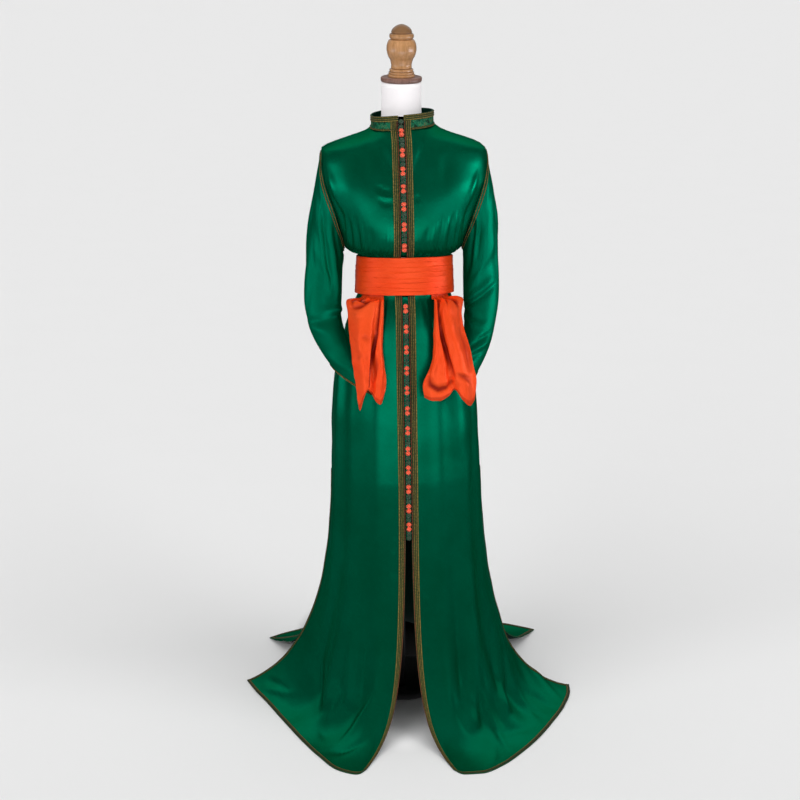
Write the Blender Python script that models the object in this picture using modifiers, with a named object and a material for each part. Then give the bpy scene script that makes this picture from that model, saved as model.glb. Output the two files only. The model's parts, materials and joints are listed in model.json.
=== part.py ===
"""Moroccan kaftan with its sash, on a limbless dress form on a stand.

Metres, +Z up.  The kaftan faces -Y; side -1 is the wearer's right (-X), side +1 the left (+X).
The origin is on the floor below the form's axis, in the underside of the stand's base.
Every cloth piece is a loft of points on the garment's own form, with a wall to its inside.
"""
import math

import bmesh
import bpy
from mathutils import Vector

CLOTH = 0.0016          # wall of the kaftan's cloth
SEAM_GAP = 0.0008       # between two pieces along a seam
BRAID_GAP = 0.0006      # between a braid and the panel under it
BRAID_THICK = 0.0010
FRONT_BRAID = 0.018     # width of the braid beside the opening
HEM_BRAID = 0.010       # width of the braid on hems, vents and cuffs
ARM_BRAID = 0.013       # the sleeve's first band; its braid leaves a part of it by the seam
COLLAR_HIGH = 0.034
COLLAR_BRAID = 0.014
COLLAR_FALL = 0.0035    # the collar is lower at the sides by this, and twice this at the back
STRIP_HALF = 0.0058     # half width of the strip that carries the knots
OPENING_HALF = 0.0065   # from the centre line to a front panel's edge
KNOT_R = 0.0050
KNOT_STEP = 0.0095      # between the two knots of a pair
FLARE_Z = 0.62          # the skirt's sweep to the floor begins here
SHOULDER_Z = 1.417
UNDERARM_Z = 1.180
HEM_Z = 0.0022          # top face of the cloth where it lies on the floor
SASH_TOP, SASH_BOTTOM = 1.157, 1.066
SASH_THICK = 0.0022
SASH_TIP = 0.010        # the band sits this much higher in front, and lower behind
SASH_REST = 0.0031      # from the waist's own section to the band's inside at its top
TAIL_TUCK = 0.0021      # from the panel's face to a sash end's outer face under the band
NECK_TILT = math.radians(4.5)
NECK_TOP = 1.572
SHOULDER_DROP = 0.0025  # from the cloth's outer face down to the form's shoulder ridge
POLE_Y, BASE_Y = 0.035, 0.110   # the pole and its base stand behind the form's axis

# Sections of the worn kaftan: height, half widths (right, left), depths (front, back), roundness
BODY = [
    (1.478, 0.0730, 0.0770, 0.0850, 0.0720, 2.2),
    (1.464, 0.0870, 0.0940, 0.0960, 0.0830, 2.2),
    (1.446, 0.1280, 0.1380, 0.1060, 0.0950, 2.4),
    (1.430, 0.1660, 0.1810, 0.1110, 0.1030, 2.6),
    (1.417, 0.1900, 0.2010, 0.1140, 0.1070, 2.7),
    (1.385, 0.1965, 0.2050, 0.1190, 0.1120, 2.8),
    (1.350, 0.1965, 0.2050, 0.1240, 0.1150, 2.8),
    (1.300, 0.1840, 0.1920, 0.1300, 0.1150, 2.6),
    (1.250, 0.1640, 0.1720, 0.1320, 0.1130, 2.4),
    (1.210, 0.1480, 0.1560, 0.1290, 0.1100, 2.2),
    (1.180, 0.1370, 0.1460, 0.1135, 0.1060, 2.1),
    (1.171, 0.1240, 0.1350, 0.1017, 0.1010, 2.1),
    (1.167, 0.1060, 0.1206, 0.1016, 0.0940, 2.1),
    (1.110, 0.1040, 0.1190, 0.1010, 0.0930, 2.1),
    (1.062, 0.1050, 0.1200, 0.1030, 0.0960, 2.1),
    (1.045, 0.1130, 0.1270, 0.1100, 0.1050, 2.1),
    (1.000, 0.1290, 0.1440, 0.1180, 0.1190, 2.1),
    (0.930, 0.1460, 0.1630, 0.1260, 0.1350, 2.1),
    (0.860, 0.1640, 0.1800, 0.1340, 0.1480, 2.1),
    (0.760, 0.1710, 0.1890, 0.1460, 0.1640, 2.1),
    (0.680, 0.1720, 0.1930, 0.1560, 0.1760, 2.1),
    (0.620, 0.1740, 0.1970, 0.1640, 0.1840, 2.1),
]
PANEL_Z = [1.478, 1.462, 1.440, SHOULDER_Z, 1.385, 1.350, 1.315, 1.280, 1.245, 1.210, UNDERARM_Z,
           1.171, 1.167, 1.110, 1.062, 1.042, 1.000, 0.930, 0.850, 0.760, 0.680]
SWEEP_ROWS = 9          # rows from FLARE_Z to the hem, before the braid's own row

# Armhole edge on the panels: height, half width right, half width left, the same on the back
ARMHOLE = [
    (1.417, 0.1900, 0.2010, 0.1900, 0.2010),
    (1.385, 0.1915, 0.1995, 0.1900, 0.1980),
    (1.350, 0.1860, 0.1925, 0.1860, 0.1920),
    (1.315, 0.1760, 0.1830, 0.1780, 0.1850),
    (1.280, 0.1640, 0.1720, 0.1680, 0.1760),
    (1.245, 0.1530, 0.1610, 0.1570, 0.1650),
    (1.210, 0.1440, 0.1520, 0.1460, 0.1540),
    (1.180, 0.1370, 0.1460, 0.1370, 0.1460),
]

# Hem lines on the floor from the centre front to the side vent: x, y
HEM_RIGHT = [(-0.116, -0.416), (-0.137, -0.437), (-0.182, -0.412), (-0.222, -0.341), (-0.264, -0.243),
             (-0.304, -0.134), (-0.349, -0.008), (-0.379, 0.071), (-0.399, 0.135)]
HEM_LEFT = [(0.090, -0.432), (0.112, -0.456), (0.152, -0.455), (0.210, -0.416), (0.266, -0.349),
            (0.321, -0.268), (0.369, -0.180), (0.413, -0.089), (0.441, -0.002), (0.446, 0.040)]
# Hem of the back from its right corner round the train to its left corner: x, y
HEM_BACK = [(-0.338, 0.431), (-0.245, 0.495), (-0.160, 0.548), (-0.070, 0.583), (0.030, 0.595),
            (0.130, 0.583), (0.230, 0.545), (0.332, 0.489), (0.414, 0.433)]
# Sweep to the floor, by place along the panel: fraction, knee height, foot run, foot height
SWEEP_RIGHT = [(0.0, 0.12, 0.22, 0.000), (0.14, 0.13, 0.30, 0.000), (0.30, 0.12, 0.16, 0.000),
               (0.47, 0.15, 0.34, 0.008), (0.62, 0.15, 0.24, 0.004), (0.8, 0.18, 0.44, 0.035),
               (1.0, 0.20, 0.50, 0.075)]
SWEEP_LEFT = [(0.0, 0.12, 0.22, 0.000), (0.16, 0.13, 0.30, 0.000), (0.32, 0.12, 0.15, 0.000),
              (0.50, 0.15, 0.34, 0.008), (0.66, 0.14, 0.22, 0.000), (0.84, 0.17, 0.40, 0.020),
              (1.0, 0.19, 0.45, 0.030)]
SWEEP_BACK = [(0.0, 0.20, 0.42, 0.060), (0.10, 0.20, 0.44, 0.040), (0.20, 0.16, 0.26, 0.004),
              (0.32, 0.20, 0.42, 0.020), (0.42, 0.15, 0.24, 0.000), (0.53, 0.18, 0.38, 0.010),
              (0.64, 0.15, 0.24, 0.000), (0.75, 0.20, 0.42, 0.020), (0.87, 0.16, 0.28, 0.004),
              (1.0, 0.20, 0.40, 0.040)]
# Sideways drift of the centre line, front and back: height, shift
CENTRE = [(0.50, 0.005), (0.80, 0.003), (1.06, 0.001), (1.20, -0.003), (1.48, -0.008)]

# Soft standing folds: side, angle from centre front, half width in degrees, top z, bottom z, height
FOLDS = [
    (-1, 24, 7, 1.045, 0.20, 0.004), (-1, 47, 8, 1.04, 0.12, 0.006), (-1, 70, 8, 1.03, 0.30, 0.005),
    (1, 22, 7, 1.045, 0.25, 0.004), (1, 45, 8, 1.04, 0.12, 0.006), (1, 68, 8, 1.03, 0.30, 0.005),
    (-1, 110, 9, 1.03, 0.10, 0.007), (-1, 142, 9, 1.03, 0.10, 0.008),
    (1, 110, 9, 1.03, 0.10, 0.007), (1, 142, 9, 1.03, 0.10, 0.008), (1, 178, 8, 1.03, 0.12, 0.007),
    (-1, 60, 8, 1.27, 1.165, 0.004), (1, 58, 8, 1.27, 1.165, 0.004),
    (-1, 150, 10, 1.26, 1.165, 0.004), (1, 150, 10, 1.26, 1.165, 0.004),
]

# Sleeves, ring by ring: outer line (x, y, z), middle (x, y, z), inner line (x, y, z), half thickness
SLEEVE_RIGHT = [
    ((-0.202, 0.000, 1.362), (-0.191, 0.000, 1.258), (-0.1395, 0.000, 1.158), 0.062),
    ((-0.211, 0.000, 1.312), (-0.194, 0.000, 1.222), (-0.1410, 0.000, 1.138), 0.060),
    ((-0.219, -0.001, 1.262), (-0.195, 0.000, 1.186), (-0.1425, 0.000, 1.116), 0.058),
    ((-0.227, -0.003, 1.208), (-0.195, -0.002, 1.149), (-0.1445, 0.000, 1.094), 0.055),
    ((-0.2325, -0.007, 1.152), (-0.187, -0.007, 1.112), (-0.1460, -0.006, 1.068), 0.050),
    ((-0.2365, -0.014, 1.098), (-0.189, -0.018, 1.070), (-0.1475, -0.020, 1.041), 0.045),
    ((-0.2370, -0.023, 1.046), (-0.188, -0.034, 1.028), (-0.1480, -0.042, 1.010), 0.038),
    ((-0.2280, -0.034, 1.000), (-0.181, -0.056, 0.986), (-0.1420, -0.080, 0.974), 0.030),
    ((-0.2140, -0.048, 0.962), (-0.168, -0.080, 0.948), (-0.1220, -0.110, 0.930), 0.022),
    ((-0.1940, -0.064, 0.930), (-0.148, -0.101, 0.908), (-0.1000, -0.126, 0.884), 0.016),
    ((-0.1740, -0.080, 0.903), (-0.130, -0.116, 0.872), (-0.0800, -0.138, 0.842), 0.012),
]
SLEEVE_LEFT = [
    ((0.212, 0.000, 1.362), (0.202, 0.000, 1.266), (0.1500, 0.000, 1.155), 0.062),
    ((0.220, 0.000, 1.322), (0.205, 0.000, 1.230), (0.1512, 0.000, 1.136), 0.060),
    ((0.2285, -0.001, 1.270), (0.206, 0.000, 1.194), (0.1515, 0.000, 1.116), 0.058),
    ((0.2350, -0.003, 1.214), (0.205, -0.002, 1.156), (0.1512, 0.000, 1.096), 0.055),
    ((0.2365, -0.007, 1.156), (0.194, -0.007, 1.118), (0.1508, -0.006, 1.072), 0.050),
    ((0.2370, -0.014, 1.100), (0.194, -0.018, 1.074), (0.1510, -0.020, 1.046), 0.045),
    ((0.2340, -0.023, 1.046), (0.192, -0.034, 1.030), (0.1520, -0.042, 1.012), 0.038),
    ((0.2230, -0.034, 0.996), (0.186, -0.056, 0.984), (0.1480, -0.080, 0.972), 0.030),
    ((0.2110, -0.050, 0.950), (0.174, -0.082, 0.938), (0.1320, -0.110, 0.926), 0.022),
    ((0.1930, -0.070, 0.912), (0.158, -0.104, 0.898), (0.1130, -0.127, 0.884), 0.016),
    ((0.1730, -0.092, 0.880), (0.142, -0.118, 0.865), (0.0960, -0.138, 0.850), 0.012),
]

# Sash ends: height at the left edge, at the right edge, then left, middle and right (x, y)
TAIL_RIGHT = [
    (1.0625, 1.0655, -0.1375, -0.080, -0.0930, -0.122, -0.0510, -0.118),
    (1.034, 1.034, -0.1360, -0.095, -0.0965, -0.142, -0.0520, -0.131),
    (0.995, 0.995, -0.1350, -0.120, -0.0970, -0.158, -0.0545, -0.141),
    (0.955, 0.955, -0.1310, -0.139, -0.0955, -0.167, -0.0560, -0.148),
    (0.915, 0.915, -0.1275, -0.153, -0.0925, -0.172, -0.0520, -0.154),
    (0.875, 0.880, -0.1215, -0.161, -0.0890, -0.175, -0.0480, -0.158),
    (0.808, 0.850, -0.1170, -0.165, -0.0880, -0.176, -0.0510, -0.161),
]
TAIL_LEFT = [
    (1.0655, 1.0630, 0.0690, -0.120, 0.1000, -0.128, 0.1420, -0.086),
    (1.034, 1.034, 0.0675, -0.134, 0.0990, -0.145, 0.1370, -0.106),
    (0.995, 0.995, 0.0650, -0.144, 0.1000, -0.155, 0.1420, -0.122),
    (0.955, 0.955, 0.0640, -0.152, 0.1040, -0.164, 0.1540, -0.138),
    (0.915, 0.915, 0.0575, -0.158, 0.1060, -0.170, 0.1610, -0.148),
    (0.875, 0.880, 0.0395, -0.162, 0.1055, -0.174, 0.1680, -0.156),
    (0.840, 0.824, 0.0420, -0.166, 0.1070, -0.176, 0.1640, -0.161),
]
# Lower edge of each end: fraction across, drop below the straight line between its corners
TAIL_EDGE_RIGHT = [(0.0, -0.028), (0.10, 0.0), (0.24, -0.024), (0.42, -0.038), (0.54, -0.024),
                   (0.74, 0.008), (0.86, 0.018), (1.0, -0.006)]
TAIL_EDGE_LEFT = [(0.0, 0.0), (0.12, 0.004), (0.26, 0.003), (0.42, -0.010), (0.57, -0.026), (0.72, -0.006),
                  (0.90, 0.008), (1.0, -0.008)]

# Form: height, half width, front, back, roundness
FORM = [
    (0.800, 0.080, 0.066, 0.070, 2.1), (0.808, 0.112, 0.086, 0.092, 2.1), (0.830, 0.130, 0.100, 0.108, 2.1),
    (0.920, 0.134, 0.108, 0.118, 2.1), (1.000, 0.117, 0.104, 0.108, 2.1), (1.060, 0.096, 0.091, 0.087, 2.1),
    (1.110, 0.094, 0.089, 0.084, 2.1), (1.160, 0.100, 0.096, 0.087, 2.1), (1.210, 0.118, 0.112, 0.092, 2.1),
    (1.260, 0.132, 0.118, 0.096, 2.2), (1.310, 0.146, 0.112, 0.098, 2.3), (1.355, 0.162, 0.098, 0.096, 2.4),
    (1.390, 0.174, 0.086, 0.086, 2.4), (1.412, 0.174, 0.074, 0.074, 2.3),
]
# Its shoulder ridge, which carries the cloth: height of the cloth's section there, front, back
SHOULDERS = [(1.440, 0.062, 0.060), (1.462, 0.053, 0.053)]
# Its neck: height, radius
NECK = [(1.468, 0.0560), (1.492, 0.0478), (1.530, 0.0478)]
# Turned knob: radius, height above the disc
FINIAL = [
    (0.0325, 0.0004), (0.0330, 0.0040), (0.0300, 0.0060), (0.0308, 0.0090), (0.0285, 0.0130), (0.0250, 0.0150),
    (0.0246, 0.0270), (0.0268, 0.0350), (0.0325, 0.0450), (0.0354, 0.0620), (0.0330, 0.0770), (0.0272, 0.0870),
    (0.0285, 0.0900), (0.0266, 0.0940), (0.0280, 0.0985), (0.0240, 0.1030), (0.0205, 0.1120), (0.0110, 0.1215),
]
# Heights of the orange pairs' middles; a green pair sits between each two of them
ORANGE_UPPER = [1.457, 1.415, 1.373, 1.333, 1.292, 1.245, 1.197]
ORANGE_LOWER = [1.044, 0.997, 0.948, 0.898, 0.851, 0.802, 0.754, 0.705, 0.659, 0.613, 0.565, 0.520]


# ---------------------------------------------------------------- tables and curves
def blend(table, at, column):
    """A smooth value from a table sorted by its first column, never past its neighbours."""
    rows = table if table[0][0] < table[-1][0] else table[::-1]
    if at <= rows[0][0]:
        return rows[0][column]
    if at >= rows[-1][0]:
        return rows[-1][column]
    k = max(i for i in range(len(rows) - 1) if rows[i][0] <= at)

    def slope(i):
        if i == 0 or i == len(rows) - 1:
            j = min(max(i, 1), len(rows) - 1)
            return (rows[j][column] - rows[j - 1][column]) / (rows[j][0] - rows[j - 1][0])
        before = (rows[i][column] - rows[i - 1][column]) / (rows[i][0] - rows[i - 1][0])
        after = (rows[i + 1][column] - rows[i][column]) / (rows[i + 1][0] - rows[i][0])
        if before * after <= 0:
            return 0.0
        return 2 * before * after / (before + after)

    span = rows[k + 1][0] - rows[k][0]
    t = (at - rows[k][0]) / span
    a, b = rows[k][column], rows[k + 1][column]
    return ((2 * t ** 3 - 3 * t ** 2 + 1) * a + (t ** 3 - 2 * t ** 2 + t) * span * slope(k)
            + (3 * t ** 2 - 2 * t ** 3) * b + (t ** 3 - t ** 2) * span * slope(k + 1))


def lengths(points):
    run = [0.0]
    for a, b in zip(points, points[1:]):
        run.append(run[-1] + (b - a).length)
    return run


def at_length(points, run, want):
    """The point this far along a dense line."""
    want = min(max(want, 0.0), run[-1])
    k = 0
    while k < len(run) - 2 and run[k + 1] < want:
        k += 1
    t = (want - run[k]) / max(run[k + 1] - run[k], 1e-9)
    return points[k].lerp(points[k + 1], t)


def along(xy, fraction):
    """A point a fraction of the way along a plan line, rounded between its corners."""
    points = [Vector((x, y, 0)) for x, y in xy]
    table = [(s, p.x, p.y) for s, p in zip(lengths(points), points)]
    want = fraction * table[-1][0]
    return Vector((blend(table, want, 1), blend(table, want, 2), 0))


# ---------------------------------------------------------------- the worn form
def body_point(z, angle, side):
    """A point of the worn kaftan; angle 0 is the centre front, pi the centre back."""
    width = blend(BODY, z, 1 if side < 0 else 2)
    depth = blend(BODY, z, 3 if angle < math.pi / 2 else 4)
    power = 2 / blend(BODY, z, 5)
    x = side * width * abs(math.sin(angle)) ** power
    x += blend(CENTRE, z, 1) * (1 - (x / width) ** 2)
    y = -math.copysign(depth * abs(math.cos(angle)) ** power, math.cos(angle))
    out = 0.0
    for fold_side, middle, half, top, bottom, high in FOLDS:
        gone = (math.degrees(angle) - middle) / half
        mirrored = (360 - math.degrees(angle) - middle) / half
        near = math.exp(-gone ** 2) * (fold_side == side) + math.exp(-mirrored ** 2) * (fold_side != side)
        if near > 1e-3 and bottom < z < top:
            reach = min(1.0, (top - z) / 0.05, (z - bottom) / 0.05)
            out += high * near * reach
    flat = Vector((x, y, 0))
    flat += flat.normalized() * out
    lean = max(0.0, (z - 1.40) / 0.078) ** 2
    rise = lean * (0.060 * flat.x - 0.009 - 0.005 * math.cos(angle) + 0.002 * math.cos(angle) ** 2)
    return Vector((flat.x, flat.y, z + rise))


def edge_angle(z, side, back):
    """The angle where a panel ends: its side seam, or the armhole above the underarm."""
    if not UNDERARM_Z < z < SHOULDER_Z:
        return math.pi / 2
    column = (3 if back else 1) + (0 if side < 0 else 1)
    width = blend(BODY, z, 1 if side < 0 else 2)
    ratio = min(blend(ARMHOLE, z, column) / width, 1.0)
    angle = math.asin(ratio ** (blend(BODY, z, 5) / 2))
    return math.pi - angle if back else angle


def sweep(angle, side, hem, knee_z, run, foot_z):
    """The line of the skirt from FLARE_Z down to a point of the hem, dense."""
    top = body_point(FLARE_Z, angle, side)
    above = body_point(FLARE_Z + 0.05, angle, side)
    lean = (top - above) / 0.05
    knee = top + Vector((lean.x, lean.y, 0)) * (FLARE_Z - knee_z) * 0.5
    knee.z = knee_z
    foot = top.lerp(hem, run)
    foot.z = foot_z + HEM_Z
    end = Vector((hem.x, hem.y, HEM_Z))
    line = []
    for k in range(61):
        t = k / 60
        line.append(top * (1 - t) ** 3 + knee * 3 * t * (1 - t) ** 2 + foot * 3 * t * t * (1 - t) + end * t ** 3)
    return line


def skirt_rows(columns):
    """Rows down the sweep at equal parts of every column, the last as wide as the hem braid."""
    rows = []
    for step in range(1, SWEEP_ROWS + 2):
        row = []
        for line in columns:
            run = lengths(line)
            part = run[-1] if step > SWEEP_ROWS else (run[-1] - HEM_BRAID) * step / SWEEP_ROWS
            row.append(at_length(line, run, part))
        rows.append(row)
    return rows


def front_rows(side):
    """The dense rows of a front panel, centre edge to side edge, neck to hem."""
    count = 48
    rows = []
    for z in PANEL_Z:
        last = edge_angle(z, side, False)
        width = blend(BODY, z, 1 if side < 0 else 2)
        first = math.asin((OPENING_HALF / width) ** (blend(BODY, z, 5) / 2))
        rows.append([body_point(z, first + (last - first) * k / count, side) for k in range(count + 1)])
    width = blend(BODY, FLARE_Z, 1 if side < 0 else 2)
    first = math.asin((OPENING_HALF / width) ** (blend(BODY, FLARE_Z, 5) / 2))
    hem = HEM_RIGHT if side < 0 else HEM_LEFT
    columns = []
    for k in range(count + 1):
        part = k / count
        knee, run, foot = (blend(SWEEP_RIGHT if side < 0 else SWEEP_LEFT, part, c) for c in (1, 2, 3))
        columns.append(sweep(first + (math.pi / 2 - first) * part, side, along(hem, part), knee, run, foot))
    rows.append([line[0] for line in columns])
    return rows + skirt_rows(columns)


def back_rows():
    """The dense rows of the back, from its right edge round the centre back to its left edge."""
    count = 96

    def place(part, z):
        right, left = edge_angle(z, -1, True), edge_angle(z, 1, True)
        turned = right + (2 * math.pi - left - right) * part
        return (turned, -1) if turned <= math.pi else (2 * math.pi - turned, 1)

    rows = [[body_point(z, *place(k / count, z)) for k in range(count + 1)] for z in PANEL_Z]
    columns = []
    for k in range(count + 1):
        part = k / count
        knee, run, foot = (blend(SWEEP_BACK, part, c) for c in (1, 2, 3))
        columns.append(sweep(*place(part, FLARE_Z), along(HEM_BACK, part), knee, run, foot))
    rows.append([line[0] for line in columns])
    return rows + skirt_rows(columns)


def places(line, lead, trail, middle):
    """Lengths along a row: braid edge columns of fixed width with equal columns between them."""
    total = lengths(line)[-1] - SEAM_GAP / 2
    inner = [lead + (total - lead - trail) * k / middle for k in range(middle + 1)]
    return ([0.0] if lead else []) + inner + ([total] if trail else [])


def grid_of(rows, lead, trail, middle):
    grid = []
    for line in rows:
        run = lengths(line)
        grid.append([at_length(line, run, want) for want in places(line, lead, trail, middle)])
    return grid


# ---------------------------------------------------------------- lofts
def normals(grid, closed):
    """The outward direction at every point of a grid, from its neighbours."""
    high, wide = len(grid), len(grid[0])
    result = []
    for i in range(high):
        row = []
        for j in range(wide):
            left = grid[i][(j - 1) % wide] if closed or j > 0 else grid[i][j]
            right = grid[i][(j + 1) % wide] if closed or j < wide - 1 else grid[i][j]
            up, down = grid[max(i - 1, 0)][j], grid[min(i + 1, high - 1)][j]
            row.append((right - left).cross(down - up).normalized())
        result.append(row)
    return result


def moved(grid, distance, closed=False, flip=False):
    """The grid moved out along its own outward directions."""
    sign = -1 if flip else 1
    out = normals(grid, closed)
    return [[p + n * distance * sign for p, n in zip(row, turn)] for row, turn in zip(grid, out)]


def part_object(name, mesh, material, smooth=True):
    obj = bpy.data.objects.new(name, mesh)
    mesh.materials.append(material)
    for face in mesh.polygons:
        face.use_smooth = smooth
    KAFTAN.objects.link(obj)
    return obj


def wall(name, grid, material, thick=CLOTH, closed=False, flip=False, keep=None):
    """A loft over the grid with a wall to its inside; keep picks the cells that belong."""
    high, wide = len(grid), len(grid[0])
    mesh = bpy.data.meshes.new(name)
    bm = bmesh.new()
    verts = [[bm.verts.new(p) for p in row] for row in grid]
    for i in range(high - 1):
        for j in range(wide if closed else wide - 1):
            if keep and not keep(i, j):
                continue
            k = (j + 1) % wide
            corners = [verts[i][j], verts[i][k], verts[i + 1][k], verts[i + 1][j]]
            bm.faces.new(corners[::-1] if flip else corners)
    bmesh.ops.delete(bm, geom=[v for v in bm.verts if not v.link_faces], context="VERTS")
    bm.to_mesh(mesh)
    bm.free()
    obj = part_object(name, mesh, material)
    solid = obj.modifiers.new("wall", "SOLIDIFY")
    solid.thickness = thick
    solid.offset = -1.0
    return obj


def solid_loft(name, rings, material):
    """A closed body through rings, with flat ends."""
    mesh = bpy.data.meshes.new(name)
    bm = bmesh.new()
    verts = [[bm.verts.new(p) for p in ring] for ring in rings]
    wide = len(rings[0])
    for low, high in zip(verts, verts[1:]):
        for j in range(wide):
            k = (j + 1) % wide
            bm.faces.new([low[j], low[k], high[k], high[j]])
    bm.faces.new(verts[0][::-1])
    bm.faces.new(verts[-1])
    bm.to_mesh(mesh)
    bm.free()
    return part_object(name, mesh, material)


def round_ring(radius, z, count, centre=(0.0, 0.0)):
    return [Vector((centre[0] + radius * math.cos(2 * math.pi * k / count),
                    centre[1] + radius * math.sin(2 * math.pi * k / count), z)) for k in range(count)]


# ---------------------------------------------------------------- pieces
def sleeve_grid(side, front, back):
    """The sleeve's rings from the armhole loop, down the arm to the cuff; rows run from the centre
    front to the seam, and from the seam to the centre back."""
    first, last = PANEL_Z.index(SHOULDER_Z), PANEL_Z.index(UNDERARM_Z)
    count = 2 * (last - first)

    def rim(line, front_piece):
        """A panel row's end carried across the seam gap."""
        step = (line[-1] - line[-2]).normalized() if front_piece else (line[0] - line[1]).normalized()
        return (line[-1] if front_piece else line[0]) + step * SEAM_GAP / 2

    out = Vector((side, 0, 0))
    loop = [body_point(SHOULDER_Z, math.pi / 2, side) + out * 0.0012 - Vector((0, 0, 0.0024))]
    loop += [rim(front[i], True) for i in range(first + 1, last)]
    loop.append(body_point(UNDERARM_Z, math.pi / 2, side) + out * SEAM_GAP)
    loop += [rim(back[i], False) for i in range(last - 1, first, -1)]
    rings = []
    for outer, middle, inner, thick in SLEEVE_RIGHT if side < 0 else SLEEVE_LEFT:
        outer, middle, inner = Vector(outer), Vector(middle), Vector(inner)
        ring = []
        for j in range(count):
            turn = 2 * math.pi * j / count
            s = (1 - math.cos(turn)) / 2
            bow = middle * 2 - (outer + inner) / 2
            point = outer * (1 - s) ** 2 + bow * 2 * s * (1 - s) + inner * s * s
            run = (bow - outer) * (1 - s) + (inner - bow) * s
            across = Vector((run.y, -run.x, 0)).normalized()
            if across.y > 0:
                across = -across
            ring.append(point + across * thick * math.sin(turn))
        rings.append(ring)
    band = []
    for j, point in enumerate(loop):
        face = math.sin(2 * math.pi * j / count)
        away = Vector((side * (0.24 + 0.66 * face * face), -0.12 * face, -1 + 0.45 * face * face))
        band.append(point + away.normalized() * ARM_BRAID)
    cuff = [b + (a - b).normalized() * HEM_BRAID for a, b in zip(rings[-2], rings[-1])]
    return [loop, band] + rings[:-1] + [cuff, rings[-1]]


def collar_grid():
    """The standing collar, right end round the back to the left end, top to base."""
    count, high = 24, COLLAR_HIGH
    top = PANEL_Z[0]
    grid = []
    for lift, draw in ((high, 0.985), (high - COLLAR_BRAID, 0.99), (SEAM_GAP, 1.0)):
        dense = []
        for k in range(121):
            turned = 2 * math.pi * k / 120
            angle, side = (turned, -1) if turned <= math.pi else (2 * math.pi - turned, 1)
            p = body_point(top, angle, side)
            fall = COLLAR_FALL * (1 - math.cos(angle)) - 0.020 * p.x if lift > SEAM_GAP else 0.0
            dense.append(Vector((p.x * draw, p.y * draw, p.z + lift - fall)))
        run = lengths(dense)
        first, last = OPENING_HALF, run[-1] - OPENING_HALF
        ends = [first, first + FRONT_BRAID, last - FRONT_BRAID, last]
        inner = [ends[1] + (ends[2] - ends[1]) * k / (count - 2) for k in range(1, count - 2)]
        grid.append([at_length(dense, run, w) for w in [ends[0], ends[1]] + inner + [ends[2], ends[3]]])
    return grid


def sash_grid():
    """The band, top to bottom, in standing pleats that lap downward."""
    count, rows = 32, 10
    grid = []
    for i in range(rows):
        part = i / (rows - 1)
        z = SASH_TOP + (SASH_BOTTOM - SASH_TOP) * part
        off = SASH_REST + 0.0044 * part + SASH_THICK + (0.0012 if i % 2 else 0.0)
        ring = []
        for k in range(count):
            turned = 2 * math.pi * k / count
            angle, side = (turned, -1) if turned <= math.pi else (2 * math.pi - turned, 1)
            waist = body_point(1.110, angle, side)
            flat = Vector((waist.x, waist.y, 0))
            flat += flat.normalized() * off
            ring.append(Vector((flat.x, flat.y, z + SASH_TIP * math.cos(angle))))
        grid.append(ring)
    return grid


def tail_grid(side):
    """A sash end: tucked under the band, bellied out, with a deep fold and a slanting edge."""
    table = TAIL_RIGHT if side < 0 else TAIL_LEFT
    edge = TAIL_EDGE_RIGHT if side < 0 else TAIL_EDGE_LEFT
    groove = 0.66 if side < 0 else 0.60
    ripples = ((0.30, 0.12, 0.006), (groove, 0.060, -0.012), (0.84, 0.09, 0.004)) if side < 0 else (
        (0.12, 0.07, 0.005), (0.27, 0.06, -0.008), (groove, 0.060, -0.012), (0.82, 0.09, 0.006))
    stations = [0.0, 0.10, 0.19, 0.27, 0.35, 0.44, groove - 0.10, groove - 0.045, groove, groove + 0.045,
                groove + 0.10, 0.85, 0.93, 1.0]
    first, last = ((66, 27) if side < 0 else (31, 62))
    rows = []
    tucked = []
    for above in (0.0064, -0.0032):
        row = []
        for u in stations:
            angle = math.radians(first + (last - first) * u)
            p = body_point(1.062, angle, side)
            flat = Vector((p.x, p.y, 0))
            lift = Vector((0, 0, SASH_BOTTOM + SASH_TIP * math.cos(angle) + above))
            row.append(flat + flat.normalized() * TAIL_TUCK + lift)
        tucked.append(row)
    rows += tucked
    for k, (z_left, z_right, xl, yl, xm, ym, xr, yr) in enumerate(table):
        row = []
        for u in stations:
            bend_x, bend_y = 2 * xm - (xl + xr) / 2, 2 * ym - (yl + yr) / 2
            x = xl * (1 - u) ** 2 + bend_x * 2 * u * (1 - u) + xr * u * u
            y = yl * (1 - u) ** 2 + bend_y * 2 * u * (1 - u) + yr * u * u
            grown = min(1.0, (k + 1) / 3)
            y -= sum(high * math.exp(-((u - at) / half) ** 2) for at, half, high in ripples) * grown
            z = z_left + (z_right - z_left) * u
            if k == len(table) - 1:
                z -= blend(edge, u, 1)
            row.append(Vector((x, y, z)))
        rows.append(row)
    return rows


def form_ring(z, right, left, front, rear, power, shift):
    """A level section of the form; round where the power is 2."""
    ring = []
    for k in range(20):
        turn = 2 * math.pi * k / 20
        c, s = math.cos(turn), math.sin(turn)
        wide, deep = (left if c > 0 else right), (rear if s > 0 else front)
        ring.append(Vector((math.copysign(wide * abs(c) ** (2 / power), c) + shift,
                            math.copysign(deep * abs(s) ** (2 / power), s), z)))
    return ring


def strip_grid(top, bottom, step):
    """The narrow strip between the front panels."""
    count = max(2, round((top - bottom) / step))
    grid = []
    for i in range(count + 1):
        z = top + (bottom - top) * i / count
        centre = body_point(min(z, 1.478), 0.0, 1)
        rise = z - min(z, 1.478)
        if z < FLARE_Z:
            line = sweep(0.03, 1, Vector((0.0, -0.43, 0)), *SWEEP_LEFT[0][1:])
            k = max(j for j in range(len(line)) if line[j].z >= z)
            t = (line[k].z - z) / (line[k].z - line[k + 1].z)
            centre = line[k].lerp(line[k + 1], t)
        middle = blend(CENTRE, z, 1)
        grid.append([Vector((middle + x, centre.y, centre.z + rise)) for x in (-STRIP_HALF, STRIP_HALF)])
    return grid


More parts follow.
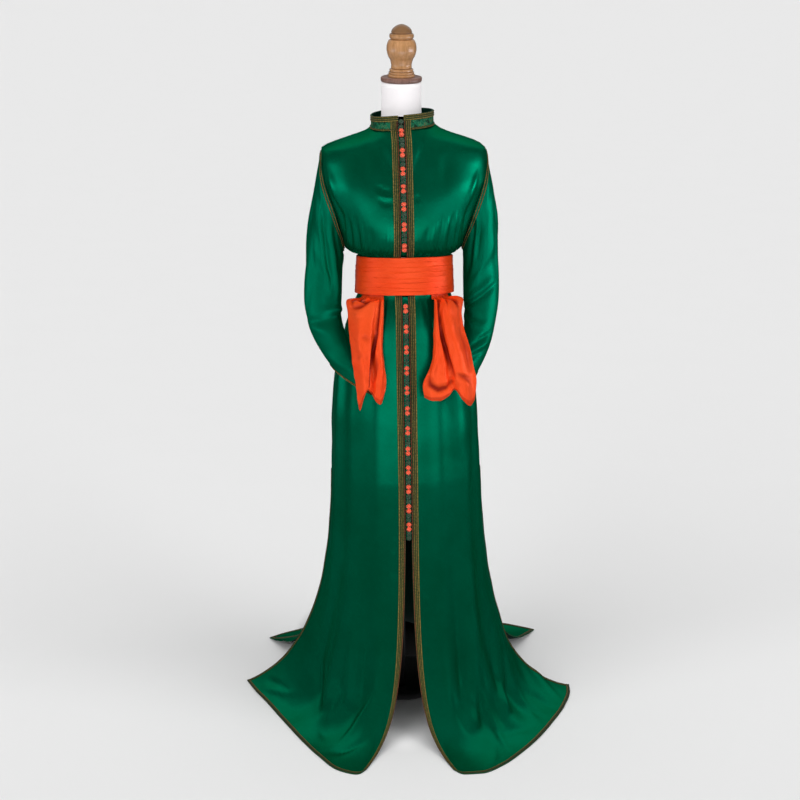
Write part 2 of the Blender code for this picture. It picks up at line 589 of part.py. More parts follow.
def strip_place(grid, z):
    """The middle of the strip's face at this height, and the way up along it."""
    k = max([i for i in range(len(grid) - 1) if grid[i][0].z >= z] or [0])
    a, b = (sum(row, Vector()) / 2 for row in grid[k:k + 2])
    return a.lerp(b, (a.z - z) / (a.z - b.z)), (a - b).normalized()


def knot_rings(grid, z, lift):
    """Two round knots, one on the other, as one turned six-sided body this far off the strip."""
    point, run = strip_place(grid, z)
    out = Vector((1, 0, 0)).cross(run).normalized()
    half, r = KNOT_STEP / 2, KNOT_R
    profile = [(-half - 0.94 * r, 0.34), (-half - 0.5 * r, 0.87), (-half + 0.25 * r, 0.97), (0, 0.52),
               (half - 0.25 * r, 0.97), (half + 0.5 * r, 0.87), (half + 0.94 * r, 0.34)]
    flat = math.cos(math.pi / 6) * r        # from the axis to a flat side, per unit of size
    seat = max((strip_place(grid, z + up)[0] - point).dot(out) + flat * size for up, size in profile)
    centre = point + out * (seat + lift)
    return [[centre + run * up + Vector((1, 0, 0)) * (r * size * math.cos(math.pi * k / 3))
             - out * (r * size * math.sin(math.pi * k / 3)) for k in range(6)] for up, size in profile]


def material(name, colour, rough, metal=0.0):
    mat = bpy.data.materials.new(name)
    mat.use_nodes = True
    mat.diffuse_color = (*colour, 1)
    shader = mat.node_tree.nodes["Principled BSDF"]
    shader.inputs["Base Color"].default_value = (*colour, 1)
    shader.inputs["Roughness"].default_value = rough
    shader.inputs["Metallic"].default_value = metal
    return mat


# ---------------------------------------------------------------- build
for old in list(bpy.data.objects):
    bpy.data.objects.remove(old, do_unlink=True)
KAFTAN = bpy.data.collections.new("moroccan_kaftan")
CUTTERS = bpy.data.collections.new("cutters")
bpy.context.scene.collection.children.link(KAFTAN)
bpy.context.scene.collection.children.link(CUTTERS)

SATIN = material("green_satin", (0.0, 0.140, 0.075), 0.32)
SASH = material("orange_satin", (0.95, 0.095, 0.028), 0.40)
BRAID = material("olive_gold_braid", (0.19, 0.085, 0.015), 0.55)
KNOT = material("orange_cord", (0.85, 0.055, 0.018), 0.50)
LINEN = material("white_cloth", (0.86, 0.84, 0.84), 0.85)
BROWN = material("dark_brown_wood", (0.055, 0.022, 0.018), 0.40)
GOLD = material("gold_brown_wood", (0.42, 0.21, 0.07), 0.30)
METAL = material("black_metal", (0.02, 0.02, 0.02), 0.45)

hem_row = len(PANEL_Z) + SWEEP_ROWS       # the row of cells that carries the hem braid
vent_row = len(PANEL_Z) + 1               # the first row of cells below the top of the vents

fronts = {}
for side, word in ((-1, "right"), (1, "left")):
    rows = front_rows(side)
    fronts[side] = rows
    grid = grid_of(rows, FRONT_BRAID, HEM_BRAID, 9)
    turned = side > 0
    wall("front_" + word, grid, SATIN, flip=turned)
    proud = moved(grid, BRAID_GAP + BRAID_THICK, flip=turned)
    proud[0] = [a.lerp(b, 0.15) for a, b in zip(proud[0], proud[1])]
    wall("front_braid_" + word, [row[:2] for row in proud], BRAID, BRAID_THICK, flip=turned)
    rest = [row[1:] for row in proud]
    for row, bare in zip(rest, proud):
        row[0] = row[0] + (row[1] - row[0]).normalized() * SEAM_GAP
    edge = len(rest[0]) - 2
    wall("hem_braid_" + word, rest, BRAID, BRAID_THICK, flip=turned,
         keep=lambda i, j, edge=edge: i >= hem_row or (j == edge and i >= vent_row))

back = back_rows()
back_grid = []
for line in back:
    run = lengths(line)
    total = run[-1] - SEAM_GAP / 2
    wants = [SEAM_GAP / 2, HEM_BRAID]
    wants += [HEM_BRAID + (total - 2 * HEM_BRAID) * k / 16 for k in range(1, 17)] + [total]
    back_grid.append([at_length(line, run, w) for w in wants])
wall("back", back_grid, SATIN)
proud = moved(back_grid, BRAID_GAP + BRAID_THICK)
last = len(back_grid[0]) - 2
wall("hem_braid_back", proud, BRAID, BRAID_THICK,
     keep=lambda i, j: i >= hem_row or (j in (0, last) and i >= vent_row))

for side, word in ((-1, "right"), (1, "left")):
    grid = sleeve_grid(side, fronts[side], back if side < 0 else [line[::-1] for line in back])
    turned = side < 0
    wall("sleeve_" + word, grid, SATIN, closed=True, flip=turned)
    proud = moved(grid[:2], BRAID_GAP + BRAID_THICK + 0.0005, closed=True, flip=turned)
    proud = [[a.lerp(b, part) for a, b in zip(*proud)] for part in (0.30, 0.94)]
    wall("armhole_braid_" + word, proud, BRAID, BRAID_THICK, closed=True, flip=turned)
    proud = moved(grid[-2:], BRAID_GAP + BRAID_THICK, closed=True, flip=turned)
    wall("cuff_braid_" + word, proud, BRAID, BRAID_THICK, closed=True, flip=turned)

grid = collar_grid()
wall("collar", grid, SATIN)
proud = moved(grid, BRAID_GAP + BRAID_THICK)
last = len(grid[0]) - 2
wall("collar_braid", proud, BRAID, BRAID_THICK, keep=lambda i, j: i == 0 or j in (0, last))

wall("sash_band", sash_grid(), SASH, SASH_THICK, closed=True)
wall("sash_tail_right", tail_grid(-1), SASH, 0.0018, flip=True)
wall("sash_tail_left", tail_grid(1), SASH, 0.0018, flip=True)

number = 0
for word, top, bottom, orange, ends in (
        ("upper", 1.507, 1.170, ORANGE_UPPER, (1.478,)), ("lower", 1.060, 0.486, ORANGE_LOWER, (0.498,))):
    grid = strip_grid(top, bottom, 0.034)
    green = [(a + b) / 2 for a, b in zip(orange, orange[1:])] + list(ends)
    strip = wall("knot_strip_" + word, grid, SATIN, 0.0020, flip=True)
    pieces = bpy.data.meshes.new("green_knots_" + word)
    bm = bmesh.new()
    for z in green:
        rings = knot_rings(grid, z, -0.0008)
        verts = [[bm.verts.new(p) for p in ring] for ring in rings]
        for low, high in zip(verts, verts[1:]):
            for j in range(6):
                bm.faces.new([low[j], low[(j + 1) % 6], high[(j + 1) % 6], high[j]])
        bm.faces.new(verts[0][::-1])
        bm.faces.new(verts[-1])
    bm.to_mesh(pieces)
    bm.free()
    greens = bpy.data.objects.new("green_knots_" + word, pieces)
    CUTTERS.objects.link(greens)
    greens.hide_render = True
    greens.display_type = "WIRE"
    join = strip.modifiers.new("knots", "BOOLEAN")
    join.operation = "UNION"
    join.solver = "EXACT"
    join.object = greens
    for z in orange:
        number += 1
        solid_loft("knot_%02d" % number, knot_rings(grid, z, 0.0004), KNOT)

rings = [form_ring(z, half, half, front, rear, power, 0.004) for z, half, front, rear, power in FORM]
for z, front, rear in SHOULDERS:
    right, left = (body_point(z, math.pi / 2, side) for side in (-1, 1))
    ring = form_ring(0.0, -right.x, left.x, front, rear, 2.1, 0.0)
    for p in ring:
        p.z = right.z + (left.z - right.z) * (p.x - right.x) / (left.x - right.x) - SHOULDER_DROP
    rings.append(ring)
rings += [round_ring(radius, z, 20) for z, radius in NECK]
rings.append([p + Vector((0, 0, p.y * math.tan(NECK_TILT))) for p in round_ring(NECK[-1][1], NECK_TOP, 20)])
solid_loft("form_torso", rings, LINEN)


def tilted(rings, base):
    """Rings about the upright axis, tipped forward with the neck."""
    c, s = math.cos(NECK_TILT), math.sin(NECK_TILT)
    return [[Vector((p.x, p.y * c - (p.z - base) * s, base + p.y * s + (p.z - base) * c)) for p in ring]
            for ring in rings]


cap_z = NECK_TOP + 0.0005
disc = [(0.0465, 0.0), (0.0490, 0.002), (0.0490, 0.009), (0.0465, 0.011)]
solid_loft("neck_cap", tilted([round_ring(r, cap_z + z, 24) for r, z in disc], NECK_TOP), BROWN)
knob_z = cap_z + 0.011
solid_loft("finial", tilted([round_ring(r, knob_z + z, 20) for r, z in FINIAL], NECK_TOP), GOLD)

solid_loft("stand_pole", [round_ring(0.0125, z, 12, (0.0, POLE_Y)) for z in (0.0184, 0.7996)], METAL)
solid_loft("stand_base", [round_ring(r, z, 32, (0.0, BASE_Y)) for r, z in
                          ((0.128, 0.0), (0.130, 0.002), (0.130, 0.014), (0.122, 0.018))], METAL)
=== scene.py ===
# %% [markdown]
# # A Moroccan kaftan on its dress form
#
# A kaftan is a long robe that opens down the front. This one is satin, with corded braid on its
# edges, silk knots down the middle and a pleated sash, on a form without arms or legs. The packed
# model gives every piece its place; this file gives each one its cloth, cords and folds.

# %% Load the fixed model
import json
import math
import random

import bmesh
import bpy
import numpy as np
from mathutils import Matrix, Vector

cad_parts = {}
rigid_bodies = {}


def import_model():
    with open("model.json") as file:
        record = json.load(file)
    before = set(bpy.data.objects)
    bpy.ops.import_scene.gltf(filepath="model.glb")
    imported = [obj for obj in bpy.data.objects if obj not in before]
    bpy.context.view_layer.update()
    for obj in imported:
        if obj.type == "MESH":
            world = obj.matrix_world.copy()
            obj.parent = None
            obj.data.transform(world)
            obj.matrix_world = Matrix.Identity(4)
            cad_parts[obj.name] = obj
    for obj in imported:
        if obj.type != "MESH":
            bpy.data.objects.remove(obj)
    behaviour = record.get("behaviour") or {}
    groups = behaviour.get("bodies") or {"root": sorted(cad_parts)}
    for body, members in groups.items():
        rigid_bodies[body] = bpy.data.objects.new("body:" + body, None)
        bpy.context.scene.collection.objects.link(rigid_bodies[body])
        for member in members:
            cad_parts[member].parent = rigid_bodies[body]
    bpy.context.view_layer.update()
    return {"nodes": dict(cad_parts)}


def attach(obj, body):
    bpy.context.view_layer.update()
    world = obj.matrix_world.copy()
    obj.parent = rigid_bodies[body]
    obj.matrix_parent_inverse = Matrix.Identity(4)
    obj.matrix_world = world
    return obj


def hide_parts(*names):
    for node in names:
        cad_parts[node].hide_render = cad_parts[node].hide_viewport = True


for old in list(bpy.data.objects):      # Blender opens with a cube and a lamp
    bpy.data.objects.remove(old, do_unlink=True)
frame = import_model()
print("packed nodes:", len(frame["nodes"]))

# %% [markdown]
# ## The camera
#
# A dress form is photographed from chest height, a little to one side, with a long lens. A long
# lens keeps the neck and the hem at nearly one scale, so the camera stands 4.2 m away.

# %% Camera
def aim(direction):
    """The rotation that points a camera or lamp along a direction."""
    return Vector(direction).to_track_quat("-Z", "Y").to_euler()


CAMERA_AWAY, CAMERA_HIGH = 4.2, 1.85
turn, pitch = math.radians(-4.5), math.radians(14.123)
camera = bpy.data.objects.new("camera", bpy.data.cameras.new("camera"))
camera.location = (CAMERA_AWAY * math.sin(turn), -CAMERA_AWAY * math.cos(turn), CAMERA_HIGH)
camera.rotation_euler = aim((-math.sin(turn) * math.cos(pitch), math.cos(turn) * math.cos(pitch),
                             -math.sin(pitch)))
camera.data.lens = 78.605
camera.data.sensor_width = 36
camera.data.shift_x = -1.3 / 800
bpy.context.scene.collection.objects.link(camera)
bpy.context.scene.camera = camera
print("camera", [round(c, 3) for c in camera.location])

# %% [markdown]
# ## The garment's sizes
#
# A pattern cutter starts from body measures at fixed heights. These are the same measures as the
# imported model's, so every finer piece lands where its plain one is. All are in metres.

# %% Sizes
CLOTH = 0.0016          # wall of the kaftan's cloth
SEAM_GAP = 0.0008       # between two pieces along a seam
FRONT_BRAID = 0.018     # width of the braid beside the opening
HEM_BRAID = 0.010       # width of the braid on hems, vents and cuffs
ARM_BRAID = 0.013
COLLAR_HIGH = 0.034
COLLAR_BRAID = 0.014
COLLAR_FALL = 0.0035    # the collar is lower at the sides by this, and twice this at the back
STRIP_HALF = 0.0058     # half width of the strip that carries the knots
OPENING_HALF = 0.0065   # from the centre line to a front panel's edge
FLARE_Z = 0.62          # the skirt's sweep to the floor begins here
NECK_Z, SHOULDER_Z, UNDERARM_Z = 1.478, 1.417, 1.180
HEM_Z = 0.0022          # top face of the cloth where it lies on the floor
SASH_TOP, SASH_BOTTOM, SASH_THICK, SASH_REST = 1.157, 1.066, 0.0022, 0.0031
SASH_TIP = 0.010        # the band sits this much higher in front, and lower behind
TAIL_TUCK = 0.0021
NECK_TILT = math.radians(4.5)
NECK_TOP = 1.572
SHOULDER_DROP = 0.0025
RIGHT, LEFT = -1, 1     # the wearer's sides; right is -X
SIDES = ((RIGHT, "right"), (LEFT, "left"))

# %% [markdown]
# ## Measures
#
# Each row is one level section, fold or ring, with its own named columns.

# %% Body, armhole and hem tables
# Sections of the worn kaftan: height, half widths (right, left), depths (front, back), roundness
BODY = [
    (1.478, 0.0730, 0.0770, 0.0850, 0.0720, 2.2),
    (1.464, 0.0870, 0.0940, 0.0960, 0.0830, 2.2),
    (1.446, 0.1280, 0.1380, 0.1060, 0.0950, 2.4),
    (1.430, 0.1660, 0.1810, 0.1110, 0.1030, 2.6),
    (1.417, 0.1900, 0.2010, 0.1140, 0.1070, 2.7),
    (1.385, 0.1965, 0.2050, 0.1190, 0.1120, 2.8),
    (1.350, 0.1965, 0.2050, 0.1240, 0.1150, 2.8),
    (1.300, 0.1840, 0.1920, 0.1300, 0.1150, 2.6),
    (1.250, 0.1640, 0.1720, 0.1320, 0.1130, 2.4),
    (1.210, 0.1480, 0.1560, 0.1290, 0.1100, 2.2),
    (1.180, 0.1370, 0.1460, 0.1135, 0.1060, 2.1),
    (1.171, 0.1240, 0.1350, 0.1017, 0.1010, 2.1),
    (1.167, 0.1060, 0.1206, 0.1016, 0.0940, 2.1),
    (1.110, 0.1040, 0.1190, 0.1010, 0.0930, 2.1),
    (1.062, 0.1050, 0.1200, 0.1030, 0.0960, 2.1),
    (1.045, 0.1130, 0.1270, 0.1100, 0.1050, 2.1),
    (1.000, 0.1290, 0.1440, 0.1180, 0.1190, 2.1),
    (0.930, 0.1460, 0.1630, 0.1260, 0.1350, 2.1),
    (0.860, 0.1640, 0.1800, 0.1340, 0.1480, 2.1),
    (0.760, 0.1710, 0.1890, 0.1460, 0.1640, 2.1),
    (0.680, 0.1720, 0.1930, 0.1560, 0.1760, 2.1),
    (0.620, 0.1740, 0.1970, 0.1640, 0.1840, 2.1),
]

# Armhole edge on the panels: height, half width right, half width left, the same on the back
ARMHOLE = [
    (1.417, 0.1900, 0.2010, 0.1900, 0.2010),
    (1.385, 0.1915, 0.1995, 0.1900, 0.1980),
    (1.350, 0.1860, 0.1925, 0.1860, 0.1920),
    (1.315, 0.1760, 0.1830, 0.1780, 0.1850),
    (1.280, 0.1640, 0.1720, 0.1680, 0.1760),
    (1.245, 0.1530, 0.1610, 0.1570, 0.1650),
    (1.210, 0.1440, 0.1520, 0.1460, 0.1540),
    (1.180, 0.1370, 0.1460, 0.1370, 0.1460),
]

# Hem lines on the floor from the centre front to the side vent: x, y
HEM_RIGHT = [(-0.116, -0.416), (-0.137, -0.437), (-0.182, -0.412), (-0.222, -0.341), (-0.264, -0.243),
             (-0.304, -0.134), (-0.349, -0.008), (-0.379, 0.071), (-0.399, 0.135)]
HEM_LEFT = [(0.090, -0.432), (0.112, -0.456), (0.152, -0.455), (0.210, -0.416), (0.266, -0.349),
            (0.321, -0.268), (0.369, -0.180), (0.413, -0.089), (0.441, -0.002), (0.446, 0.040)]
# Hem of the back from its right corner round the train to its left corner: x, y
HEM_BACK = [(-0.338, 0.431), (-0.245, 0.495), (-0.160, 0.548), (-0.070, 0.583), (0.030, 0.595),
            (0.130, 0.583), (0.230, 0.545), (0.332, 0.489), (0.414, 0.433)]
# Sweep to the floor, by place along the panel: fraction, knee height, foot run, foot height
SWEEP_RIGHT = [(0.0, 0.12, 0.22, 0.000), (0.14, 0.13, 0.30, 0.000), (0.30, 0.12, 0.16, 0.000),
               (0.47, 0.15, 0.34, 0.008), (0.62, 0.15, 0.24, 0.004), (0.8, 0.18, 0.44, 0.035),
               (1.0, 0.20, 0.50, 0.075)]
SWEEP_LEFT = [(0.0, 0.12, 0.22, 0.000), (0.16, 0.13, 0.30, 0.000), (0.32, 0.12, 0.15, 0.000),
              (0.50, 0.15, 0.34, 0.008), (0.66, 0.14, 0.22, 0.000), (0.84, 0.17, 0.40, 0.020),
              (1.0, 0.19, 0.45, 0.030)]
SWEEP_BACK = [(0.0, 0.20, 0.42, 0.060), (0.10, 0.20, 0.44, 0.040), (0.20, 0.16, 0.26, 0.004),
              (0.32, 0.20, 0.42, 0.020), (0.42, 0.15, 0.24, 0.000), (0.53, 0.18, 0.38, 0.010),
              (0.64, 0.15, 0.24, 0.000), (0.75, 0.20, 0.42, 0.020), (0.87, 0.16, 0.28, 0.004),
              (1.0, 0.20, 0.40, 0.040)]
# Sideways drift of the centre line, front and back: height, shift
CENTRE = [(0.50, 0.005), (0.80, 0.003), (1.06, 0.001), (1.20, -0.003), (1.48, -0.008)]

# Soft standing folds: side, angle from centre front, half width in degrees, top z, bottom z, height
FOLDS = [
    (-1, 24, 7, 1.045, 0.20, 0.004), (-1, 47, 8, 1.04, 0.12, 0.006), (-1, 70, 8, 1.03, 0.30, 0.005),
    (1, 22, 7, 1.045, 0.25, 0.004), (1, 45, 8, 1.04, 0.12, 0.006), (1, 68, 8, 1.03, 0.30, 0.005),
    (-1, 110, 9, 1.03, 0.10, 0.007), (-1, 142, 9, 1.03, 0.10, 0.008),
    (1, 110, 9, 1.03, 0.10, 0.007), (1, 142, 9, 1.03, 0.10, 0.008), (1, 178, 8, 1.03, 0.12, 0.007),
    (-1, 60, 8, 1.27, 1.165, 0.004), (1, 58, 8, 1.27, 1.165, 0.004),
    (-1, 150, 10, 1.26, 1.165, 0.004), (1, 150, 10, 1.26, 1.165, 0.004),
]

# %% [markdown]
# The sleeves, the sash's ends and the form hang or stand apart from the body, so each has a table of
# its own. The knots only need the heights of the pairs.

# %% Sleeve, sash, form and knot tables
# Sleeves, ring by ring: outer line (x, y, z), middle (x, y, z), inner line (x, y, z), half thickness
SLEEVE_RIGHT = [
    ((-0.202, 0.000, 1.362), (-0.191, 0.000, 1.258), (-0.1395, 0.000, 1.158), 0.062),
    ((-0.211, 0.000, 1.312), (-0.194, 0.000, 1.222), (-0.1410, 0.000, 1.138), 0.060),
    ((-0.219, -0.001, 1.262), (-0.195, 0.000, 1.186), (-0.1425, 0.000, 1.116), 0.058),
    ((-0.227, -0.003, 1.208), (-0.195, -0.002, 1.149), (-0.1445, 0.000, 1.094), 0.055),
    ((-0.2325, -0.007, 1.152), (-0.187, -0.007, 1.112), (-0.1460, -0.006, 1.068), 0.050),
    ((-0.2365, -0.014, 1.098), (-0.189, -0.018, 1.070), (-0.1475, -0.020, 1.041), 0.045),
    ((-0.2370, -0.023, 1.046), (-0.188, -0.034, 1.028), (-0.1480, -0.042, 1.010), 0.038),
    ((-0.2280, -0.034, 1.000), (-0.181, -0.056, 0.986), (-0.1420, -0.080, 0.974), 0.030),
    ((-0.2140, -0.048, 0.962), (-0.168, -0.080, 0.948), (-0.1220, -0.110, 0.930), 0.022),
    ((-0.1940, -0.064, 0.930), (-0.148, -0.101, 0.908), (-0.1000, -0.126, 0.884), 0.016),
    ((-0.1740, -0.080, 0.903), (-0.130, -0.116, 0.872), (-0.0800, -0.138, 0.842), 0.012),
]
SLEEVE_LEFT = [
    ((0.212, 0.000, 1.362), (0.202, 0.000, 1.266), (0.1500, 0.000, 1.155), 0.062),
    ((0.220, 0.000, 1.322), (0.205, 0.000, 1.230), (0.1512, 0.000, 1.136), 0.060),
    ((0.2285, -0.001, 1.270), (0.206, 0.000, 1.194), (0.1515, 0.000, 1.116), 0.058),
    ((0.2350, -0.003, 1.214), (0.205, -0.002, 1.156), (0.1512, 0.000, 1.096), 0.055),
    ((0.2365, -0.007, 1.156), (0.194, -0.007, 1.118), (0.1508, -0.006, 1.072), 0.050),
    ((0.2370, -0.014, 1.100), (0.194, -0.018, 1.074), (0.1510, -0.020, 1.046), 0.045),
    ((0.2340, -0.023, 1.046), (0.192, -0.034, 1.030), (0.1520, -0.042, 1.012), 0.038),
    ((0.2230, -0.034, 0.996), (0.186, -0.056, 0.984), (0.1480, -0.080, 0.972), 0.030),
    ((0.2110, -0.050, 0.950), (0.174, -0.082, 0.938), (0.1320, -0.110, 0.926), 0.022),
    ((0.1930, -0.070, 0.912), (0.158, -0.104, 0.898), (0.1130, -0.127, 0.884), 0.016),
    ((0.1730, -0.092, 0.880), (0.142, -0.118, 0.865), (0.0960, -0.138, 0.850), 0.012),
]

# Sash ends: height at the left edge, at the right edge, then left, middle and right (x, y)
TAIL_RIGHT = [
    (1.0625, 1.0655, -0.1375, -0.080, -0.0930, -0.122, -0.0510, -0.118),
    (1.034, 1.034, -0.1360, -0.095, -0.0965, -0.142, -0.0520, -0.131),
    (0.995, 0.995, -0.1350, -0.120, -0.0970, -0.158, -0.0545, -0.141),
    (0.955, 0.955, -0.1310, -0.139, -0.0955, -0.167, -0.0560, -0.148),
    (0.915, 0.915, -0.1275, -0.153, -0.0925, -0.172, -0.0520, -0.154),
    (0.875, 0.880, -0.1215, -0.161, -0.0890, -0.175, -0.0480, -0.158),
    (0.808, 0.850, -0.1170, -0.165, -0.0880, -0.176, -0.0510, -0.161),
]
TAIL_LEFT = [
    (1.0655, 1.0630, 0.0690, -0.120, 0.1000, -0.128, 0.1420, -0.086),
    (1.034, 1.034, 0.0675, -0.134, 0.0990, -0.145, 0.1370, -0.106),
    (0.995, 0.995, 0.0650, -0.144, 0.1000, -0.155, 0.1420, -0.122),
    (0.955, 0.955, 0.0640, -0.152, 0.1040, -0.164, 0.1540, -0.138),
    (0.915, 0.915, 0.0575, -0.158, 0.1060, -0.170, 0.1610, -0.148),
    (0.875, 0.880, 0.0395, -0.162, 0.1055, -0.174, 0.1680, -0.156),
    (0.840, 0.824, 0.0420, -0.166, 0.1070, -0.176, 0.1640, -0.161),
]
# Lower edge of each end: fraction across, drop below the straight line between its corners
TAIL_EDGE_RIGHT = [(0.0, -0.028), (0.10, 0.0), (0.24, -0.024), (0.42, -0.038), (0.54, -0.024),
                   (0.74, 0.008), (0.86, 0.018), (1.0, -0.006)]
TAIL_EDGE_LEFT = [(0.0, 0.0), (0.12, 0.004), (0.26, 0.003), (0.42, -0.010), (0.57, -0.026), (0.72, -0.006),
                  (0.90, 0.008), (1.0, -0.008)]

# Form: height, half width, front, back, roundness
FORM = [
    (0.800, 0.080, 0.066, 0.070, 2.1), (0.808, 0.112, 0.086, 0.092, 2.1), (0.830, 0.130, 0.100, 0.108, 2.1),
    (0.920, 0.134, 0.108, 0.118, 2.1), (1.000, 0.117, 0.104, 0.108, 2.1), (1.060, 0.096, 0.091, 0.087, 2.1),
    (1.110, 0.094, 0.089, 0.084, 2.1), (1.160, 0.100, 0.096, 0.087, 2.1), (1.210, 0.118, 0.112, 0.092, 2.1),
    (1.260, 0.132, 0.118, 0.096, 2.2), (1.310, 0.146, 0.112, 0.098, 2.3), (1.355, 0.162, 0.098, 0.096, 2.4),
    (1.390, 0.174, 0.086, 0.086, 2.4), (1.412, 0.174, 0.074, 0.074, 2.3),
]
# Its shoulder ridge, which carries the cloth: height of the cloth's section there, front, back
SHOULDERS = [(1.440, 0.062, 0.060), (1.462, 0.053, 0.053)]
# Its neck: height, radius
NECK = [(1.468, 0.0560), (1.492, 0.0478), (1.530, 0.0478)]
# Heights of the orange pairs' middles; a green pair sits between each two of them
ORANGE_UPPER = [1.457, 1.415, 1.373, 1.333, 1.292, 1.245, 1.197]
ORANGE_LOWER = [1.044, 0.997, 0.948, 0.898, 0.851, 0.802, 0.754, 0.705, 0.659, 0.613, 0.565, 0.520]
print("sections:", len(BODY), "sleeve rings:", len(SLEEVE_RIGHT))

# %% [markdown]
# ## From measures to a worn surface
#
# A worn garment is a stack of level sections. Between two measured heights each value runs
# smoothly and never past its neighbours, so the cloth gets no false bumps. Rows below the hips
# leave the level sections and sweep out to the hem line on the floor.

# %% Smooth values and lines
def hermite(t, span, start, end, slope, end_slope):
    """A cubic from start to end that leaves and arrives with given slopes; t runs from 0 to 1."""
    return ((2 * t ** 3 - 3 * t ** 2 + 1) * start + (t ** 3 - 2 * t ** 2 + t) * span * slope
            + (3 * t ** 2 - 2 * t ** 3) * end + (t ** 3 - t ** 2) * span * end_slope)


def blend(table, at, column):
    """A smooth value read from a table whose first column is in order."""
    rows = np.array(sorted(table, key=lambda row: row[0]), float)
    x, y = rows[:, 0], rows[:, column]
    step = np.diff(y) / np.diff(x)
    both = step[1:] * step[:-1]
    inner = np.where(both > 0, 2 * both / np.where(both > 0, step[1:] + step[:-1], 1), 0)
    slope = np.concatenate([step[:1], inner, step[-1:]])
    at = np.clip(at, x[0], x[-1])
    k = np.clip(np.searchsorted(x, at, side="right") - 1, 0, len(x) - 2)
    span = x[k + 1] - x[k]
    return hermite((at - x[k]) / span, span, y[k], y[k + 1], slope[k], slope[k + 1])


def run_of(line):
    """Length along a line at each of its points."""
    return np.concatenate([[0], np.cumsum(np.linalg.norm(np.diff(line, axis=0), axis=1))])


def at_length(line, wants):
    """Points at given lengths along a dense line."""
    run = run_of(line)
    return np.stack([np.interp(wants, run, line[:, c]) for c in range(3)], axis=1)


def unit(vectors):
    return vectors / np.maximum(np.linalg.norm(vectors, axis=-1, keepdims=True), 1e-12)


def hem_point(corners, part):
    """A point a fraction of the way along a hem line on the floor, rounded between its corners."""
    line = np.array([(x, y, HEM_Z) for x, y in corners])
    table = [(s, x, y) for s, (x, y, z) in zip(run_of(line), line)]
    want = part * table[-1][0]
    return np.array([blend(table, want, 1), blend(table, want, 2), HEM_Z])


CHEST_Z = 1.350
print("chest:", round(float(blend(BODY, CHEST_Z, 1) + blend(BODY, CHEST_Z, 2)), 3), "m wide")

# %% [markdown]
# A level section is a superellipse, which is an ellipse with fuller corners. It is the nearest
# simple curve to a body's section, and one number sets how full its corners are. Below the flare a
# Bezier curve takes each column of the skirt from the level sections to the floor.

# %% The worn form
def body_point(z, turned):
    """Points of the worn kaftan; turned runs from the centre front round the right side."""
    z, turned = np.broadcast_arrays(np.asarray(z, float), np.asarray(turned, float))
    right = turned <= math.pi
    angle = np.where(right, turned, 2 * math.pi - turned)
    width = np.where(right, blend(BODY, z, 1), blend(BODY, z, 2))
    depth = np.where(angle < math.pi / 2, blend(BODY, z, 3), blend(BODY, z, 4))
    power = 2 / blend(BODY, z, 5)
    x = np.where(right, -1, 1) * width * np.abs(np.sin(angle)) ** power
    x = x + blend(CENTRE, z, 1) * (1 - (x / width) ** 2)
    y = -np.sign(np.cos(angle)) * depth * np.abs(np.cos(angle)) ** power
    out = np.zeros_like(z)
    for side, middle, half, top, bottom, high in FOLDS:
        place = middle if side < 0 else 360 - middle
        near = np.exp(-((np.degrees(turned) - place) / half) ** 2)
        reach = np.clip(np.minimum((top - z) / 0.05, (z - bottom) / 0.05), 0, 1)
        out = out + high * near * reach
    size = np.maximum(np.hypot(x, y), 1e-9)
    x, y = x * (1 + out / size), y * (1 + out / size)
    lean = np.maximum(0.0, (z - 1.40) / 0.078) ** 2
    rise = lean * (0.060 * x - 0.009 - 0.005 * np.cos(angle) + 0.002 * np.cos(angle) ** 2)
    return np.stack([x, y, z + rise], axis=-1)


def seam_turn(z, side, back=False):
    """Where a panel ends: at its side seam, or at the armhole above the underarm."""
    angle = math.pi / 2
    if UNDERARM_Z < z < SHOULDER_Z:
        ratio = blend(ARMHOLE, z, (3 if back else 1) + (side > 0)) / blend(BODY, z, 1 if side < 0 else 2)
        angle = math.asin(min(ratio, 1.0) ** (blend(BODY, z, 5) / 2))
        angle = math.pi - angle if back else angle
    return angle if side < 0 else 2 * math.pi - angle


def front_turn(z, side):
    """Where a front panel's edge beside the opening lies."""
    width = blend(BODY, z, 1 if side < 0 else 2)
    angle = math.asin((OPENING_HALF / width) ** (blend(BODY, z, 5) / 2))
    return angle if side < 0 else 2 * math.pi - angle


def sweep(turned, hem, knee_z, reach, foot_z):
    """The skirt's line from the hips down to a point of the hem."""
    top, above = body_point(FLARE_Z, turned), body_point(FLARE_Z + 0.05, turned)
    knee = top + (top - above) / 0.05 * (FLARE_Z - knee_z) * 0.5
    knee[2] = knee_z
    foot = top + (hem - top) * reach
    foot[2] = foot_z + HEM_Z
    t = np.linspace(0, 1, 121)[:, None]
    return top * (1 - t) ** 3 + knee * 3 * t * (1 - t) ** 2 + foot * 3 * t * t * (1 - t) + hem * t ** 3


WAIST_Z = 1.110
waist_loop = body_point(WAIST_Z, np.linspace(0, 2 * math.pi, 181))
print("waist:", round(run_of(waist_loop)[-1], 3), "m round")

# %% [markdown]
# A panel is then a grid of points: rows down the cloth, columns across it. Each point also keeps
# its place on the cloth in metres, `s` across from the front edge and `v`, which is the height
# down to the hips and goes on as length down the cloth below them. Creases and weave use these.

# %% Panels as grids
HIP_Z = 1.04
ROWS_ABOVE = np.concatenate([
    np.linspace(NECK_Z, SHOULDER_Z, 9)[:-1], np.linspace(SHOULDER_Z, UNDERARM_Z, 32)[:-1],
    np.linspace(UNDERARM_Z, HIP_Z, 21)[:-1], np.linspace(HIP_Z, FLARE_Z, 50)])
ROWS_BELOW = 70         # rows from the flare down to the hem


